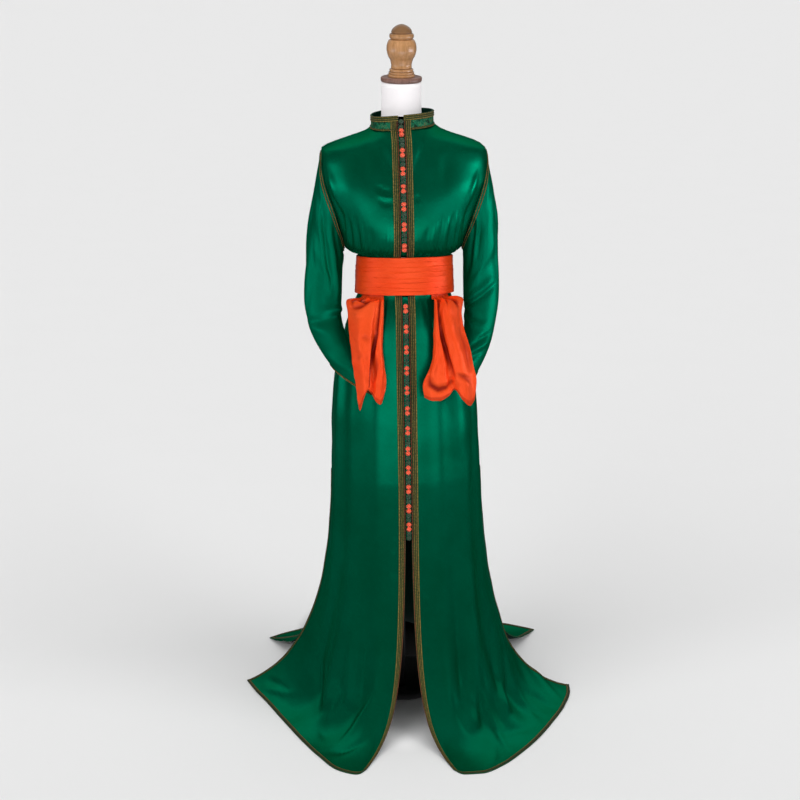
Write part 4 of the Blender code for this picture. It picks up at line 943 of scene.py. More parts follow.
# %% Braid material
def cord_tones():
    made, tree, bsdf = new_material("silk_cord_braid_olive_gold", Roughness=0.55, Sheen_Weight=0.04,
                                    Sheen_Roughness=0.4, Specular_IOR_Level=0.2)
    uv = node(tree, "TexCoord").outputs["UV"]
    metres = node(tree, "TexCoord").outputs["Object"]
    apart = node(tree, "SeparateXYZ", {"Vector": uv})
    index = node(tree, "Math", {0: apart.outputs["X"]}, operation="FLOOR")
    inside = node(tree, "Math", {0: apart.outputs["X"], 1: index.outputs[0]}, operation="SUBTRACT")
    tone = node(tree, "MapRange", {"Value": index.outputs[0], "From Min": 0.0, "From Max": 8.0})
    shades = node(tree, "ValToRGB", {"Fac": tone.outputs[0]}, stops=[
        (0.0, colour("#6a3a28")), (0.06, colour("#6c5c2e")), (0.19, colour("#64592f")),
        (0.31, colour("#7c6c38")), (0.44, colour("#5c4c22")), (0.56, colour("#2e150c")),
        (0.69, colour("#8a6a3a")), (0.81, colour("#96602e"))])
    shades.color_ramp.interpolation = "CONSTANT"
    # twist: strands cross a cord at a slant, 3.4 mm apart along it, and the colour is painted darker in the
    # grooves between them, as shade
    along = node(tree, "Math", {0: apart.outputs["Y"], 1: 1 / 0.0034}, operation="MULTIPLY")
    slant = node(tree, "Math", {0: along.outputs[0], 1: inside.outputs[0]}, operation="ADD")
    strand = node(tree, "Math", {0: slant.outputs[0], 1: 1.0}, operation="PINGPONG")
    speck = node(tree, "TexNoise", {"Vector": metres, "Scale": 260.0, "Detail": 1.0})
    dark = node(tree, "ValToRGB", {"Fac": strand.outputs[0]},
                stops=[(0.0, (0.5, 0.5, 0.5, 1)), (0.4, (1, 1, 1, 1))])
    twisted = node(tree, "Mix", {"Factor": 0.85, 6: shades.outputs["Color"], 7: dark.outputs["Color"]},
                   data_type="RGBA", blend_type="MULTIPLY")
    flecked = node(tree, "ValToRGB", {"Fac": speck.outputs["Fac"]},
                   stops=[(0.40, (0.72, 0.70, 0.62, 1)), (0.62, (1.25, 1.2, 1.1, 1))])
    lit = node(tree, "Mix", {"Factor": 1.0, 6: twisted.outputs[2], 7: flecked.outputs["Color"]},
               data_type="RGBA", blend_type="MULTIPLY")
    # the ground between the cords: inside is 0 or 1 at a cord's edges
    middle = node(tree, "Math", {0: inside.outputs[0], 1: 0.5}, operation="SUBTRACT")
    away = node(tree, "Math", {0: middle.outputs[0]}, operation="ABSOLUTE")
    gap = node(tree, "ValToRGB", {"Fac": away.outputs[0]}, stops=[(0.17, (0, 0, 0, 1)), (0.27, (1, 1, 1, 1))])
    ground = node(tree, "ValToRGB", {"Fac": speck.outputs["Fac"]},
                  stops=[(0.40, colour("#0f3a20")), (0.62, colour("#2e3418"))])
    whole = node(tree, "Mix", {"Factor": gap.outputs["Color"], 6: lit.outputs[2], 7: ground.outputs["Color"]},
                 data_type="RGBA")
    tree.links.new(whole.outputs[2], bsdf.inputs["Base Color"])
    bump = node(tree, "Bump", {"Height": strand.outputs[0], "Strength": 0.7, "Distance": 0.0006})
    tree.links.new(bump.outputs["Normal"], bsdf.inputs["Normal"])
    return made


braid_cord = cord_tones()
print("braid:", braid_cord.name)

# %% [markdown]
# A cord's relief is an arc with a low gap of ground cloth on either side. Seven or eight points are
# enough for one cord.

# %% Braid shape
def cord_places(cords, width, points=8):
    """Places across a braid, each with its relief and its count in cords."""
    t = np.linspace(0, cords, cords * points + 1)
    inside = np.abs((t % 1.0) - 0.5) * 2
    round_part = np.sqrt(np.clip(1 - (inside / 0.78) ** 2, 0, 1))
    rise = 0.0004 + 0.0011 * np.where(inside < 0.78, round_part, 0)
    rise[0] = rise[-1] = -0.0003
    return t / cords * width, rise, t


def drop_of(grid):
    """Length down each column of a grid."""
    steps = np.linalg.norm(np.diff(grid, axis=0), axis=2)
    return np.concatenate([np.zeros((1, grid.shape[1])), np.cumsum(steps, axis=0)])


for side, word in SIDES:
    places, rise, count = cord_places(4, FRONT_BRAID)
    grid, s, v = front_panel(side, lambda total: places)
    grid = on_front(grid, s, v, side)
    along = np.broadcast_to(drop_of(grid)[:, :1], s.shape)
    lifted = grid + outward(grid, flip=side > 0) * rise[:, None]
    cords = from_grid("front_braid_cords_" + word, lifted, np.broadcast_to(count, s.shape), along,
                      flip=side > 0)
    dress(cords, braid_cord, "olive_gold_braid", "front_braid_" + word)
print("front braids laid")

# %% [markdown]
# Hems and side vents have a narrower braid of two cords. It is measured up from the hem on each
# column of the panel, so it keeps its width where the skirt sweeps over the floor.

# %% Hem and vent braids
HEM_PLACES, HEM_RISE, HEM_COUNT = cord_places(2, HEM_BRAID, 7)


def hem_strip(grid):
    """Points of the last stretch of every column, across the braid; rows run along the hem."""
    strip = np.array([at_length(column, run_of(column)[-1] - HEM_BRAID + HEM_PLACES)
                      for column in np.swapaxes(grid, 0, 1)])
    return strip, np.broadcast_to(run_of(strip[:, -1])[:, None], strip.shape[:2])


def vent_strip(panel_at, dressed, from_end=True):
    """Points beside the vent's edge from the flare to the hem braid; rows run down the vent."""
    grid, s, v = panel_at(lambda total: (total - SEAM_GAP / 2 - HEM_BRAID + HEM_PLACES) if from_end
                          else SEAM_GAP / 2 + HEM_BRAID - HEM_PLACES[::-1])
    grid = dressed(grid, s, v)[len(ROWS_ABOVE) - 1:]
    lines = [at_length(column, np.linspace(0, run_of(column)[-1] - HEM_BRAID, 90))
             for column in np.swapaxes(grid, 0, 1)]
    strip = np.swapaxes(np.array(lines), 0, 1)
    return strip, np.broadcast_to(drop_of(strip)[:, :1], strip.shape[:2])


def narrow_braid(word, strips):
    """One panel's braid of two cords, from strips of points with their lengths along and flips."""
    bm = bmesh.new()
    for strip, run, flip in strips:
        lifted = strip + outward(strip, flip=flip) * (HEM_RISE + 0.0003)[None, :, None]
        lay_grid(bm, lifted, np.broadcast_to(HEM_COUNT + 4, run.shape), run, flip=flip)
    dress(as_object("hem_braid_cords_" + word, bm), braid_cord, "olive_gold_braid", "hem_braid_" + word)


for side, word in SIDES:
    grid, s, v = FRONTS[side]
    first = int(np.argmax(s[-1] > FRONT_BRAID + 0.002))
    vent = vent_strip(lambda spots: front_panel(side, spots), lambda g, a, b: on_front(g, a, b, side))
    narrow_braid(word, [(*hem_strip(grid[:, first:]), side < 0), (*vent, side > 0)])
narrow_braid("back", [(*hem_strip(BACK[0]), True),
                      *((*vent_strip(back_panel, on_back, end), False) for end in (True, False))])
print("hem and vent braids laid")

# %% [markdown]
# ## Sleeves
#
# A sleeve is a tube from the armhole to the cuff. An empty one hangs as a flat tube, so its rings
# are given by their outer, middle and inner points and how far they still stand open. The front of
# each ring is flatter than an ellipse and fullest towards the body, as slack cloth lies. Smooth rows
# run through these rings.

# %% Sleeve rings
def sleeve_rings(side, around):
    """The armhole loop, its band and the table's rings, each with the same number of points."""
    turns = 2 * math.pi * np.arange(around) / around
    tip = 0.004         # near its top and bottom the armhole turns over
    loop, steps = [], len(ARMHOLE) - 1
    for place in 2 * steps * np.arange(around) / around:
        behind = place > steps
        z = float(np.interp(2 * steps - place if behind else place, range(steps + 1),
                            [row[0] for row in ARMHOLE]))
        seam = seam_turn(z, side, behind)
        edge = body_point(z, seam)
        inward = (0.01 if behind else -0.01) * (1 if side < 0 else -1)
        step = unit(edge - body_point(z, seam + inward)) * SEAM_GAP / 2
        if z > SHOULDER_Z - tip:
            near = (z - SHOULDER_Z + tip) / tip
            step = step * (1 - near) + np.array([side * 0.0012, 0, -0.0024]) * near
        if z < UNDERARM_Z + tip:
            step = np.array([side * SEAM_GAP, 0, 0])
        loop.append(edge + step)
    face = np.sin(turns)
    away = np.stack([side * (0.24 + 0.66 * face ** 2), -0.12 * face, -1 + 0.45 * face ** 2], axis=1)
    rings = [np.array(loop), np.array(loop) + unit(away) * ARM_BRAID]
    s = ((1 - np.cos(turns)) / 2)[:, None]
    # the empty cloth lies flat in front, fullest towards the body, so most of it faces outwards
    skewed = s[:, 0] ** 1.35
    flat = np.where(face > 0, (2 * np.sqrt(np.clip(skewed * (1 - skewed), 0, 1))) ** 0.7, face)
    for row, (outer, middle, inner, thick) in enumerate(SLEEVE_RIGHT if side < 0 else SLEEVE_LEFT):
        outer, middle, inner = map(np.array, (outer, middle, inner))
        bow = middle * 2 - (outer + inner) / 2
        line = outer * (1 - s) ** 2 + bow * 2 * s * (1 - s) + inner * s * s
        run = (bow - outer) * (1 - s) + (inner - bow) * s
        across = unit(np.stack([run[:, 1], -run[:, 0], np.zeros(around)], axis=1))
        across *= np.where(across[:, 1:2] > 0, -1, 1)
        section = face + (flat - face) * min(1, 0.2 + row / 4)
        rings.append(line + across * thick * section[:, None])
    return np.array(rings)


def through(rings, wants=None, count=None):
    """Smooth rows through rings, at given mean lengths down them; negative ones count back up."""
    at = np.concatenate([[0], np.cumsum(np.linalg.norm(np.diff(rings, axis=0), axis=2).mean(axis=1))])
    slope = np.gradient(rings, at, axis=0)
    wants = np.linspace(0, at[-1], count) if wants is None else at[-1] + wants if wants[0] < 0 else wants
    k = np.clip(np.searchsorted(at, wants, side="right") - 1, 0, len(at) - 2)
    span = (at[k + 1] - at[k])[:, None, None]
    t = ((wants - at[k]) / (at[k + 1] - at[k]))[:, None, None]
    rows = hermite(t, span, rings[k], rings[k + 1], slope[k], slope[k + 1])
    return rows, np.broadcast_to(np.asarray(wants)[:, None], rows.shape[:2])


def on_sleeve(grid, down, side):
    """The sleeve's points with its creases; across is measured from the front line."""
    around = np.linalg.norm(np.roll(grid, -1, axis=1) - grid, axis=2).sum(axis=1)[:, None]
    part = np.arange(grid.shape[1])[None, :] / grid.shape[1] - 0.25
    across = (part - np.rint(part)) * around
    out = creased(across, -down, SLEEVE_RIGHT_CREASES if side < 0 else SLEEVE_LEFT_CREASES)
    out += 0.0004 * smooth_noise(across, down, 0.09, 41 + side) * np.clip(down / 0.03, 0, 1)
    return grid + outward(grid, True, side < 0) * out[..., None], across


def cords_round(rings, side, wants, rise, count):
    """Cords round a sleeve at given lengths down it: points, cord counts and lengths round."""
    rows, down = through(rings, wants)
    rows = on_sleeve(rows, down, side)[0] + outward(rows, True, side < 0) * rise[:, None, None]
    along = np.broadcast_to(run_of(np.concatenate([rows[0], rows[0, :1]]))[None, :-1], rows.shape[:2])
    return rows, np.broadcast_to(count[:, None] + 6, rows.shape[:2]), along


# %% [markdown]
# Each sleeve has two cords on the band by its armhole and a worked braid at its cuff. They are laid
# on rows of the same tube, so they follow its creases.

# %% Sleeves
ARMHOLE_CORDS = (0.0035, 0.0093)        # lengths down the sleeve at which the two cords start
for side, word in SIDES:
    rings = sleeve_rings(side, 96)
    grid, down = through(rings, count=120)
    grid, across = on_sleeve(grid, down, side)
    sleeve = from_grid("sleeve_" + word + "_satin", grid, across, -down, closed=True, flip=side < 0)
    dress(sleeve, slack_satin_painted_lighter, "green_satin", "sleeve_" + word, wall=CLOTH, inside=wrong_side_painted_dark)
    bm = bmesh.new()
    places, rise, count = cord_places(1, 0.0030)
    for start in ARMHOLE_CORDS:
        cords = cords_round(rings, side, start + places, rise + 0.0004, count)
        lay_grid(bm, *cords, closed=True, flip=side < 0)
    armhole = as_object("armhole_braid_cords_" + word, bm)
    dress(armhole, braid_cord, "olive_gold_braid", "armhole_braid_" + word)
    places, rise, count = cord_places(2, HEM_BRAID * 0.9, 7)
    cords = cords_round(rings, side, places - HEM_BRAID * 0.95, rise + 0.0003, count)
    cuff = from_grid("cuff_braid_cords_" + word, *cords, closed=True, flip=side < 0)
    dress(cuff, braid_cord, "olive_gold_braid", "cuff_braid_" + word)
    print(sleeve.name, len(sleeve.data.polygons), "faces")

# %% [markdown]
# ## Collar
#
# The standing collar is a stiff band 34 mm high, sewn to the neckline, with cords along its top edge
# and down its two front ends, and a thin pair of cords along the neck seam.

# %% Collar
def collar_point(lifts, wants):
    """Rows of the collar at given heights above the neckline, and lengths round it."""
    turns = np.linspace(0, 2 * math.pi, 241)
    rows = []
    for lift in lifts:
        draw = np.interp(lift, (SEAM_GAP, COLLAR_HIGH - COLLAR_BRAID, COLLAR_HIGH), (1.0, 0.99, 0.985))
        dense = body_point(NECK_Z, turns)
        share = np.interp(lift, (SEAM_GAP, COLLAR_HIGH - COLLAR_BRAID), (0.0, 1.0))
        fall = share * (COLLAR_FALL * (1 - np.cos(turns)) - 0.020 * dense[:, 0])
        dense = dense * (draw, draw, 1) + np.stack([0 * fall, 0 * fall, lift - fall], axis=-1)
        rows.append(at_length(dense, wants(run_of(dense)[-1])))
    return np.array(rows)


def collar_spots(count, end=OPENING_HALF):
    """Places round the collar, from one distance off each end."""
    return lambda total: np.linspace(end, total - end, count)


lifts = np.linspace(COLLAR_HIGH, SEAM_GAP, 14)
grid = collar_point(lifts, collar_spots(150))
run = run_of(grid[-1])
across, down = np.broadcast_to(run, grid.shape[:2]), np.broadcast_to(-lifts[:, None], grid.shape[:2])
grid = grid + outward(grid) * (0.0005 * smooth_noise(across, down, 0.03, 71))[..., None]
dress(from_grid("collar_satin", grid, across, down), embroidered, "green_satin", "collar", wall=CLOTH,
      inside=wrong_side_painted_dark)
print("collar:", round(run[-1], 3), "m round")

# %% [markdown]
# The level cords run round the collar in rows, and the upright ones at its ends in columns.

# %% Collar braid
bm = bmesh.new()
# Cords, width, top edge above the neckline, lift, first tone, distance off the ends, points round
LEVEL_CORDS = [
    (3, COLLAR_BRAID, COLLAR_HIGH + 0.0004, 0.0006, 1, OPENING_HALF, 200),
    (2, 0.0046, 0.0036, 0.0008, 2, OPENING_HALF + FRONT_BRAID + 0.0004, 190),
]
for cords, width, top, raised, tone, end, points in LEVEL_CORDS:
    places, rise, count = cord_places(cords, width)
    grid = collar_point(top - places, collar_spots(points, end))
    lay_grid(bm, grid + outward(grid) * (rise + raised)[:, None, None],
             np.broadcast_to(count[:, None] + tone, grid.shape[:2]),
             np.broadcast_to(run_of(grid[0]), grid.shape[:2]))
places, rise, count = cord_places(4, FRONT_BRAID)
lifts = np.linspace(COLLAR_HIGH - COLLAR_BRAID + 0.0004, SEAM_GAP, 10)
for end in (0, 1):
    grid = collar_point(lifts, lambda total: OPENING_HALF + places if end == 0
                        else total - OPENING_HALF - FRONT_BRAID + places)
    tones = count if end == 0 else 4 - count
    lay_grid(bm, grid + outward(grid) * (rise + 0.0006)[None, :, None],
             np.broadcast_to(tones, grid.shape[:2]), np.broadcast_to(-lifts[:, None], grid.shape[:2]))
dress(as_object("collar_braid_cords", bm), braid_cord, "olive_gold_braid", "collar_braid")
print("collar braid laid")

# %% [markdown]
# ## Knot buttons
#
# Each button is a ball of silk cord knotted over itself. They sit in pairs, one above the other,
# orange and green in turn. The cord's turns are grooves pushed into a round ball, deep enough to
# catch a shade line, with few faces because there are so many of them. The cord is plied silk, so
# its shine is soft. Its colour runs in fine bands that follow the bump: painted shade in the grooves
# and painted highlight on the ridges.

# %% Knot cord
def cord_knot(name, base, lit):
    made, tree, bsdf = new_material(name, Roughness=0.45, Sheen_Weight=0.3, Sheen_Roughness=0.4)
    metres = node(tree, "TexCoord").outputs["Object"]
    wrap = node(tree, "TexWave", {"Vector": metres, "Scale": 130.0, "Distortion": 3.0, "Detail": 1.0},
                bands_direction="DIAGONAL")
    # the colour follows the bump's bands: painted shade in the grooves, painted highlight on the ridges
    ramp = node(tree, "ValToRGB", {"Fac": wrap.outputs["Fac"]},
                stops=[(0.15, colour(base)), (0.75, colour(lit))])
    tree.links.new(ramp.outputs["Color"], bsdf.inputs["Base Color"])
    bump = node(tree, "Bump", {"Height": wrap.outputs["Fac"], "Strength": 0.6, "Distance": 0.0006})
    tree.links.new(bump.outputs["Normal"], bsdf.inputs["Normal"])
    return made


orange_silk = cord_knot("silk_cord_orange", "#c23414", "#ff6a48")
green_silk = cord_knot("silk_cord_dark_green", "#10281a", "#35533c")
print("knot cords:", orange_silk.name, green_silk.name)

# %% [markdown]
# The knots lie along the middle line of a narrow strip of satin that closes the opening. One function
# gives that line, so the strip and every knot follow the same curve down the front.

# %% Knot shapes
KNOT_R, KNOT_STEP = 0.0062, 0.0116      # a ball's radius, and the step from one ball to its twin


def strip_line(z):
    """The middle of the knot strip at a height."""
    if z < FLARE_Z:
        line = sweep(2 * math.pi - 0.03, np.array([0.0, -0.43, HEM_Z]), *SWEEP_LEFT[0][1:])
        y = np.interp(-z, -line[:, 2], line[:, 1])
    else:
        cut = np.linspace(1.51, FLARE_Z - 0.02, 200)
        line = body_point(np.minimum(cut, NECK_Z), 0.0)
        y = np.interp(-z, -(line[:, 2] + np.maximum(cut - NECK_Z, 0.0)), line[:, 1])
    return np.array([blend(CENTRE, z, 1), y, z])


def knot_pair(bm, z):
    """Two knotted balls on the strip, one above the other, lying along it."""
    point = strip_line(z)
    run = unit(strip_line(z + 0.01) - strip_line(z - 0.01))
    out = unit(np.cross((1.0, 0.0, 0.0), run))
    for up in (-0.5, 0.5):
        ball = bmesh.ops.create_uvsphere(bm, u_segments=20, v_segments=12, radius=KNOT_R)["verts"]
        centre = point + run * KNOT_STEP * up + out * KNOT_R * 0.86
        for vert in ball:
            x, y, w = vert.co / KNOT_R
            turns = math.sin(7.0 * (x * 0.7 + w * 0.9) + 1.5 * math.sin(3.0 * y))
            turns *= math.cos(4.0 * (x - w * 0.6))
            size = 1.0 - 0.055 + 0.075 * turns
            at = centre + (np.array([1.0, 0, 0]) * x + run * w * 0.98 + out * -y) * KNOT_R * size
            vert.co = at


# %% [markdown]
# The sash parts the strip in two. A green pair belongs to its strip, and each orange pair is a piece
# of its own.

# %% Knot strips and knots
# Each strip: name, top, bottom, its orange pairs, and one green pair past its outer end
STRIPS = [("upper", 1.495, 1.1675, ORANGE_UPPER, [1.479]), ("lower", 1.0745, 0.486, ORANGE_LOWER, [0.498])]
number = 0
for word, top, bottom, orange, ends in STRIPS:
    heights = np.linspace(top, bottom, round((top - bottom) / 0.006))
    middle = np.array([strip_line(z) for z in heights])
    offsets = np.linspace(-STRIP_HALF - 0.0006, STRIP_HALF + 0.0006, 7)
    grid = middle[:, None, :] + np.array([1.0, 0, 0])[None, None, :] * offsets[None, :, None]
    bm = bmesh.new()
    lay_grid(bm, grid, np.broadcast_to(offsets, grid.shape[:2]),
             np.broadcast_to(-drop_of(grid)[:, :1], grid.shape[:2]), flip=True)
    bmesh.ops.solidify(bm, geom=bm.faces, thickness=-0.0020)
    silk = len(bm.faces)
    for z in [(a + b) / 2 for a, b in zip(orange, orange[1:])] + ends:
        knot_pair(bm, z)
    bm.faces.ensure_lookup_table()
    for face in bm.faces[silk:]:
        face.material_index = 1
    strip = dress(as_object("green_knots_" + word, bm), satin, "green_satin", "knot_strip_" + word)
    strip.data.materials.append(green_silk)
    for z in orange:
        number += 1
        bm = bmesh.new()
        knot_pair(bm, z)
        dress(as_object("orange_knots_%02d" % number, bm), orange_silk, "orange_cord", "knot_%02d" % number)
print("orange pairs:", number)

# %% [markdown]
# ## Sash
#
# The sash is one long cloth folded into flat pleats and wound round the waist. Its folds run level,
# each lapping a little over the next, and their widths vary.

# %% Sash band
PLEATS = [0.0, 0.130, 0.250, 0.375, 0.530, 0.660, 0.800, 0.900, 1.0]   # where each pleat starts
PLEAT_RISE = [0.7, 0.5, 1.1, 1.3, 0.6, 0.5, 0.8, 0.6]                  # how far it stands out, mm


def sash_band(rows_a_pleat, around):
    """Rows of the band; each pleat swells out below its lap and dips under the next."""
    turns = np.linspace(0, 2 * math.pi, around, endpoint=False)
    waist = body_point(WAIST_Z, turns)
    flat = unit(waist * (1, 1, 0))
    rows, down = [], []
    for start, end, high in zip(PLEATS, PLEATS[1:], PLEAT_RISE):
        for k in range(rows_a_pleat):
            t = k / rows_a_pleat
            part = start + (end - start) * t
            bulge = min(1.0, t / 0.12) * (1.0 - 0.7 * t)
            wander = 0.0011 * np.sin(turns * 2 + start * 9) + 0.0009 * np.sin(turns * 5 + start * 23)
            uneven = 1 + 0.45 * np.sin(turns * 3 + start * 40) + 0.3 * np.sin(turns * 7 + start * 17)
            off = SASH_REST + 0.0044 * part + SASH_THICK + 0.001 * high * bulge * uneven
            z = SASH_TOP + (SASH_BOTTOM - SASH_TOP) * part + SASH_TIP * np.cos(turns)
            z = z + wander * min(1.0, 6 * part * (1 - part))
            rows.append(np.concatenate([(waist + flat * off[:, None])[:, :2], z[:, None]], axis=1))
            down.append(part)
    return np.array(rows), np.array(down)


grid, parts = sash_band(9, 180)
run = run_of(grid[0])
band = from_grid("sash_band_pleats", grid, np.broadcast_to(run, grid.shape[:2]),
                 np.broadcast_to(parts[:, None] * -0.12, grid.shape[:2]), closed=True)
dress(band, sash_satin, "orange_satin", "sash_band", wall=0.0018)
print(band.name, len(band.data.polygons), "faces")

# %% [markdown]
# Its two ends are pulled down over the band's lower edge and hang in front, each with one deep fold
# and a slanting, rolled edge.

# %% Sash end shape
# Ripples of each end: place across at the top, its drift with each row, half width, height
RIPPLES = {
    RIGHT: [(0.34, -0.01, 0.16, 0.006), (0.84, -0.045, 0.055, -0.012), (0.96, -0.02, 0.08, 0.004)],
    LEFT: [(0.06, 0.01, 0.07, 0.005), (0.20, 0.060, 0.060, -0.012), (0.52, 0.05, 0.14, 0.006),
           (0.92, 0.0, 0.07, -0.004)],
}


def sash_end(side, down_count, across_count):
    """A sash end: tucked under the band, bellied out, with folds and a slanting edge."""
    table = TAIL_RIGHT if side < 0 else TAIL_LEFT
    edge = TAIL_EDGE_RIGHT if side < 0 else TAIL_EDGE_LEFT
    first, last = (66, 27) if side < 0 else (31, 62)
    u = np.linspace(0, 1, across_count)
    angle = np.radians(first + (last - first) * u)
    tuck = body_point(1.062, angle if side < 0 else 2 * math.pi - angle) * (1, 1, 0)
    tuck = tuck + unit(tuck) * TAIL_TUCK
    level = np.stack([0 * u, 0 * u, SASH_BOTTOM + SASH_TIP * np.cos(angle)], axis=1)
    rings = [tuck + level + (0, 0, above) for above in (0.0064, -0.0032)]
    for k, (z_left, z_right, xl, yl, xm, ym, xr, yr) in enumerate(table):
        x = xl * (1 - u) ** 2 + (2 * xm - (xl + xr) / 2) * 2 * u * (1 - u) + xr * u * u
        y = yl * (1 - u) ** 2 + (2 * ym - (yl + yr) / 2) * 2 * u * (1 - u) + yr * u * u
        y = y - sum(high * np.exp(-((u - at - k * drift) / half) ** 2)
                    for at, drift, half, high in RIPPLES[side]) * min(1.0, (k + 1) / 3)
        z = z_left + (z_right - z_left) * u
        if k == len(table) - 1:
            z = z - blend(edge, u, 1)
        rings.append(np.stack([x, y, z], axis=1))
    rows, down = through(np.array(rings), count=down_count)
    return rows, np.broadcast_to(u * 0.11, down.shape), -down


# %% [markdown]
# The creases fan out from under the band, where each end is pulled down, and a long one runs to its
# tip. Painted shade deepens the colour inside the folds, just under the band and along the hem's
# double fold.

# %% Sash ends
TAIL_RIGHT_CREASES = [
    (-9.0, 5, 3, (98, -40), (95, -80), (89, -134), (74, -190), (60, -236), (52, -268)),
    (-6.8, 4, 6, (20, -20), (32, -44), (54, -52), (76, -38), (92, -20)),
    (5.2, 6, 4, (34, -20), (48, -34), (70, -26)),
    (-4.5, 7, 5, (14, -78), (36, -70), (60, -58)), (3.0, 8, 8, (24, -92), (50, -84), (70, -70)),
    (-3.3, 4, 4, (62, -18), (60, -34), (52, -50)), (-3.9, 5, 4, (8, -22), (14, -46), (16, -70)),
    (-2.4, 9, 12, (20, -150), (50, -142), (66, -146)), (2.7, 14, 12, (34, -110), (36, -180), (40, -230)),
    (-2.4, 10, 9, (16, -196), (34, -190), (50, -198)), (-3.3, 6, 8, (88, -190), (82, -220), (72, -250)),
    (2.7, 5, 5, (104, -150), (102, -210), (96, -250)),
]
TAIL_LEFT_CREASES = [
    (-7.5, 3, 7, (18, -22), (22, -80), (34, -140), (48, -196), (62, -240)),
    (-6.0, 4, 4, (24, -16), (27, -34), (26, -60)),
    (-7.5, 4, 7, (66, -14), (80, -44), (96, -78)), (5.2, 7, 5, (84, -20), (95, -40), (104, -62)),
    (-3.9, 4, 5, (48, -16), (52, -40), (54, -70)), (3.6, 6, 6, (38, -18), (42, -50), (46, -90)),
    (-5.4, 7, 5, (6, -236), (13, -260), (28, -273), (46, -270), (58, -256)),
    (3.3, 6, 5, (6, -190), (10, -236), (26, -262)),
    (3.0, 12, 14, (72, -110), (80, -170), (88, -220)), (-2.7, 9, 10, (94, -130), (99, -180), (102, -230)),
    (-3.6, 6, 6, (68, -236), (84, -246), (98, -262)),
]
for side, word in SIDES:
    grid, across, down = sash_end(side, 90, 64)
    out = creased(across, down, TAIL_RIGHT_CREASES if side < 0 else TAIL_LEFT_CREASES)
    # deep: the share of painted shade, in the creases' troughs and just under the band's edge
    deep = 0.95 * np.clip(-out / 0.0045, 0, 1) + 0.55 * np.exp(-(down.max() - down) / 0.012)
    deep += 0.8 * np.exp(-((down - down.min(axis=0) - 0.0050) / 0.0022) ** 2)       # painted shade along the hem's double fold, 5 mm above the lower edge
    out = out + 0.0006 * smooth_noise(across, down, 0.03, 81 + side)
    grid = grid + outward(grid, flip=True) * out[..., None]
    tail = from_grid("sash_end_" + word, grid, across, down, flip=True, fold=np.clip(deep, 0, 1))
    dress(tail, sash_satin, "orange_satin", "sash_tail_" + word, wall=0.0014)
print("sash ends hung")

# %% [markdown]
# ## The form
#
# The form is a hollow shell under stretched white jersey. A jersey is a fine knit, so close up it
# is matt with tiny columns of loops, about 1 mm apart. Its neck ends in a turned wooden disc and knob.

# %% White jersey
jersey, tree, bsdf = new_material("cotton_jersey_white", Roughness=0.85, Sheen_Weight=0.15)
uv = node(tree, "TexCoord").outputs["UV"]
loops = node(tree, "TexWave", {"Vector": uv, "Scale": 300.0}, bands_direction="X")
# the colour is a little darker between the loop columns, where the bump is low: painted shade
shade = node(tree, "ValToRGB", {"Fac": loops.outputs["Fac"]},
             stops=[(0.0, colour("#f0ecee")), (1.0, colour("#fcf8f9"))])
tree.links.new(shade.outputs["Color"], bsdf.inputs["Base Color"])
knit = node(tree, "Bump", {"Height": loops.outputs["Fac"], "Strength": 0.15, "Distance": 0.0003})
tree.links.new(knit.outputs["Normal"], bsdf.inputs["Normal"])
print("cover:", jersey.name)

# %% [markdown]
# The shell is a stack of rings like the kaftan's sections. Its shoulders carry the cloth, so those
# two rings follow the cloth's own slope a little below it.

# %% Torso and neck
def form_ring(z, right, left, front, rear, power, shift, around):
    turns = 2 * math.pi * np.arange(around) / around
    c, s = np.cos(turns), np.sin(turns)
    wide, deep = np.where(c > 0, left, right), np.where(s > 0, rear, front)
    return np.stack([np.sign(c) * wide * np.abs(c) ** (2 / power) + shift,
                     np.sign(s) * deep * np.abs(s) ** (2 / power), np.full(around, z)], axis=1)


AROUND = 72
rings = [form_ring(z, half, half, front, rear, power, 0.004, AROUND) for z, half, front, rear, power in FORM]
for z, front, rear in SHOULDERS:
    right, left = body_point(z, math.pi / 2), body_point(z, 3 * math.pi / 2)
    ring = form_ring(0.0, -right[0], left[0], front, rear, 2.1, 0.0, AROUND)
    ring[:, 2] = (right[2] + (left[2] - right[2]) * (ring[:, 0] - right[0]) / (left[0] - right[0])
                  - SHOULDER_DROP)
    rings.append(ring)
rings += [form_ring(z, r, r, r, r, 2, 0.0, AROUND) for z, r in NECK]
top = form_ring(NECK_TOP - 0.0015, *[NECK[-1][1]] * 4, 2, 0.0, AROUND)
top[:, 2] += top[:, 1] * math.tan(NECK_TILT)
rings.append(top)
rows = []
for low, high in zip(rings, rings[1:]):
    steps = max(1, round(float(np.linalg.norm(high - low, axis=1).max()) / 0.012))
    rows += [low + (high - low) * k / steps for k in range(steps)]
rows = np.array(rows + [rings[-1], rings[-1] * (0.972, 0.972, 1) + (0, 0, 0.0014)])[::-1]
run = run_of(np.concatenate([rows[20], rows[20, :1]]))[:-1]
bm = bmesh.new()
lay_grid(bm, rows, np.broadcast_to(run, rows.shape[:2]), np.broadcast_to(rows[:, :1, 2], rows.shape[:2]),
         closed=True, flip=True)
bmesh.ops.holes_fill(bm, edges=bm.edges, sides=0)
bmesh.ops.recalc_face_normals(bm, faces=bm.faces)
torso = dress(as_object("form_torso_jersey", bm), jersey, "white_cloth", "form_torso")
print(torso.name, len(torso.data.polygons), "faces")
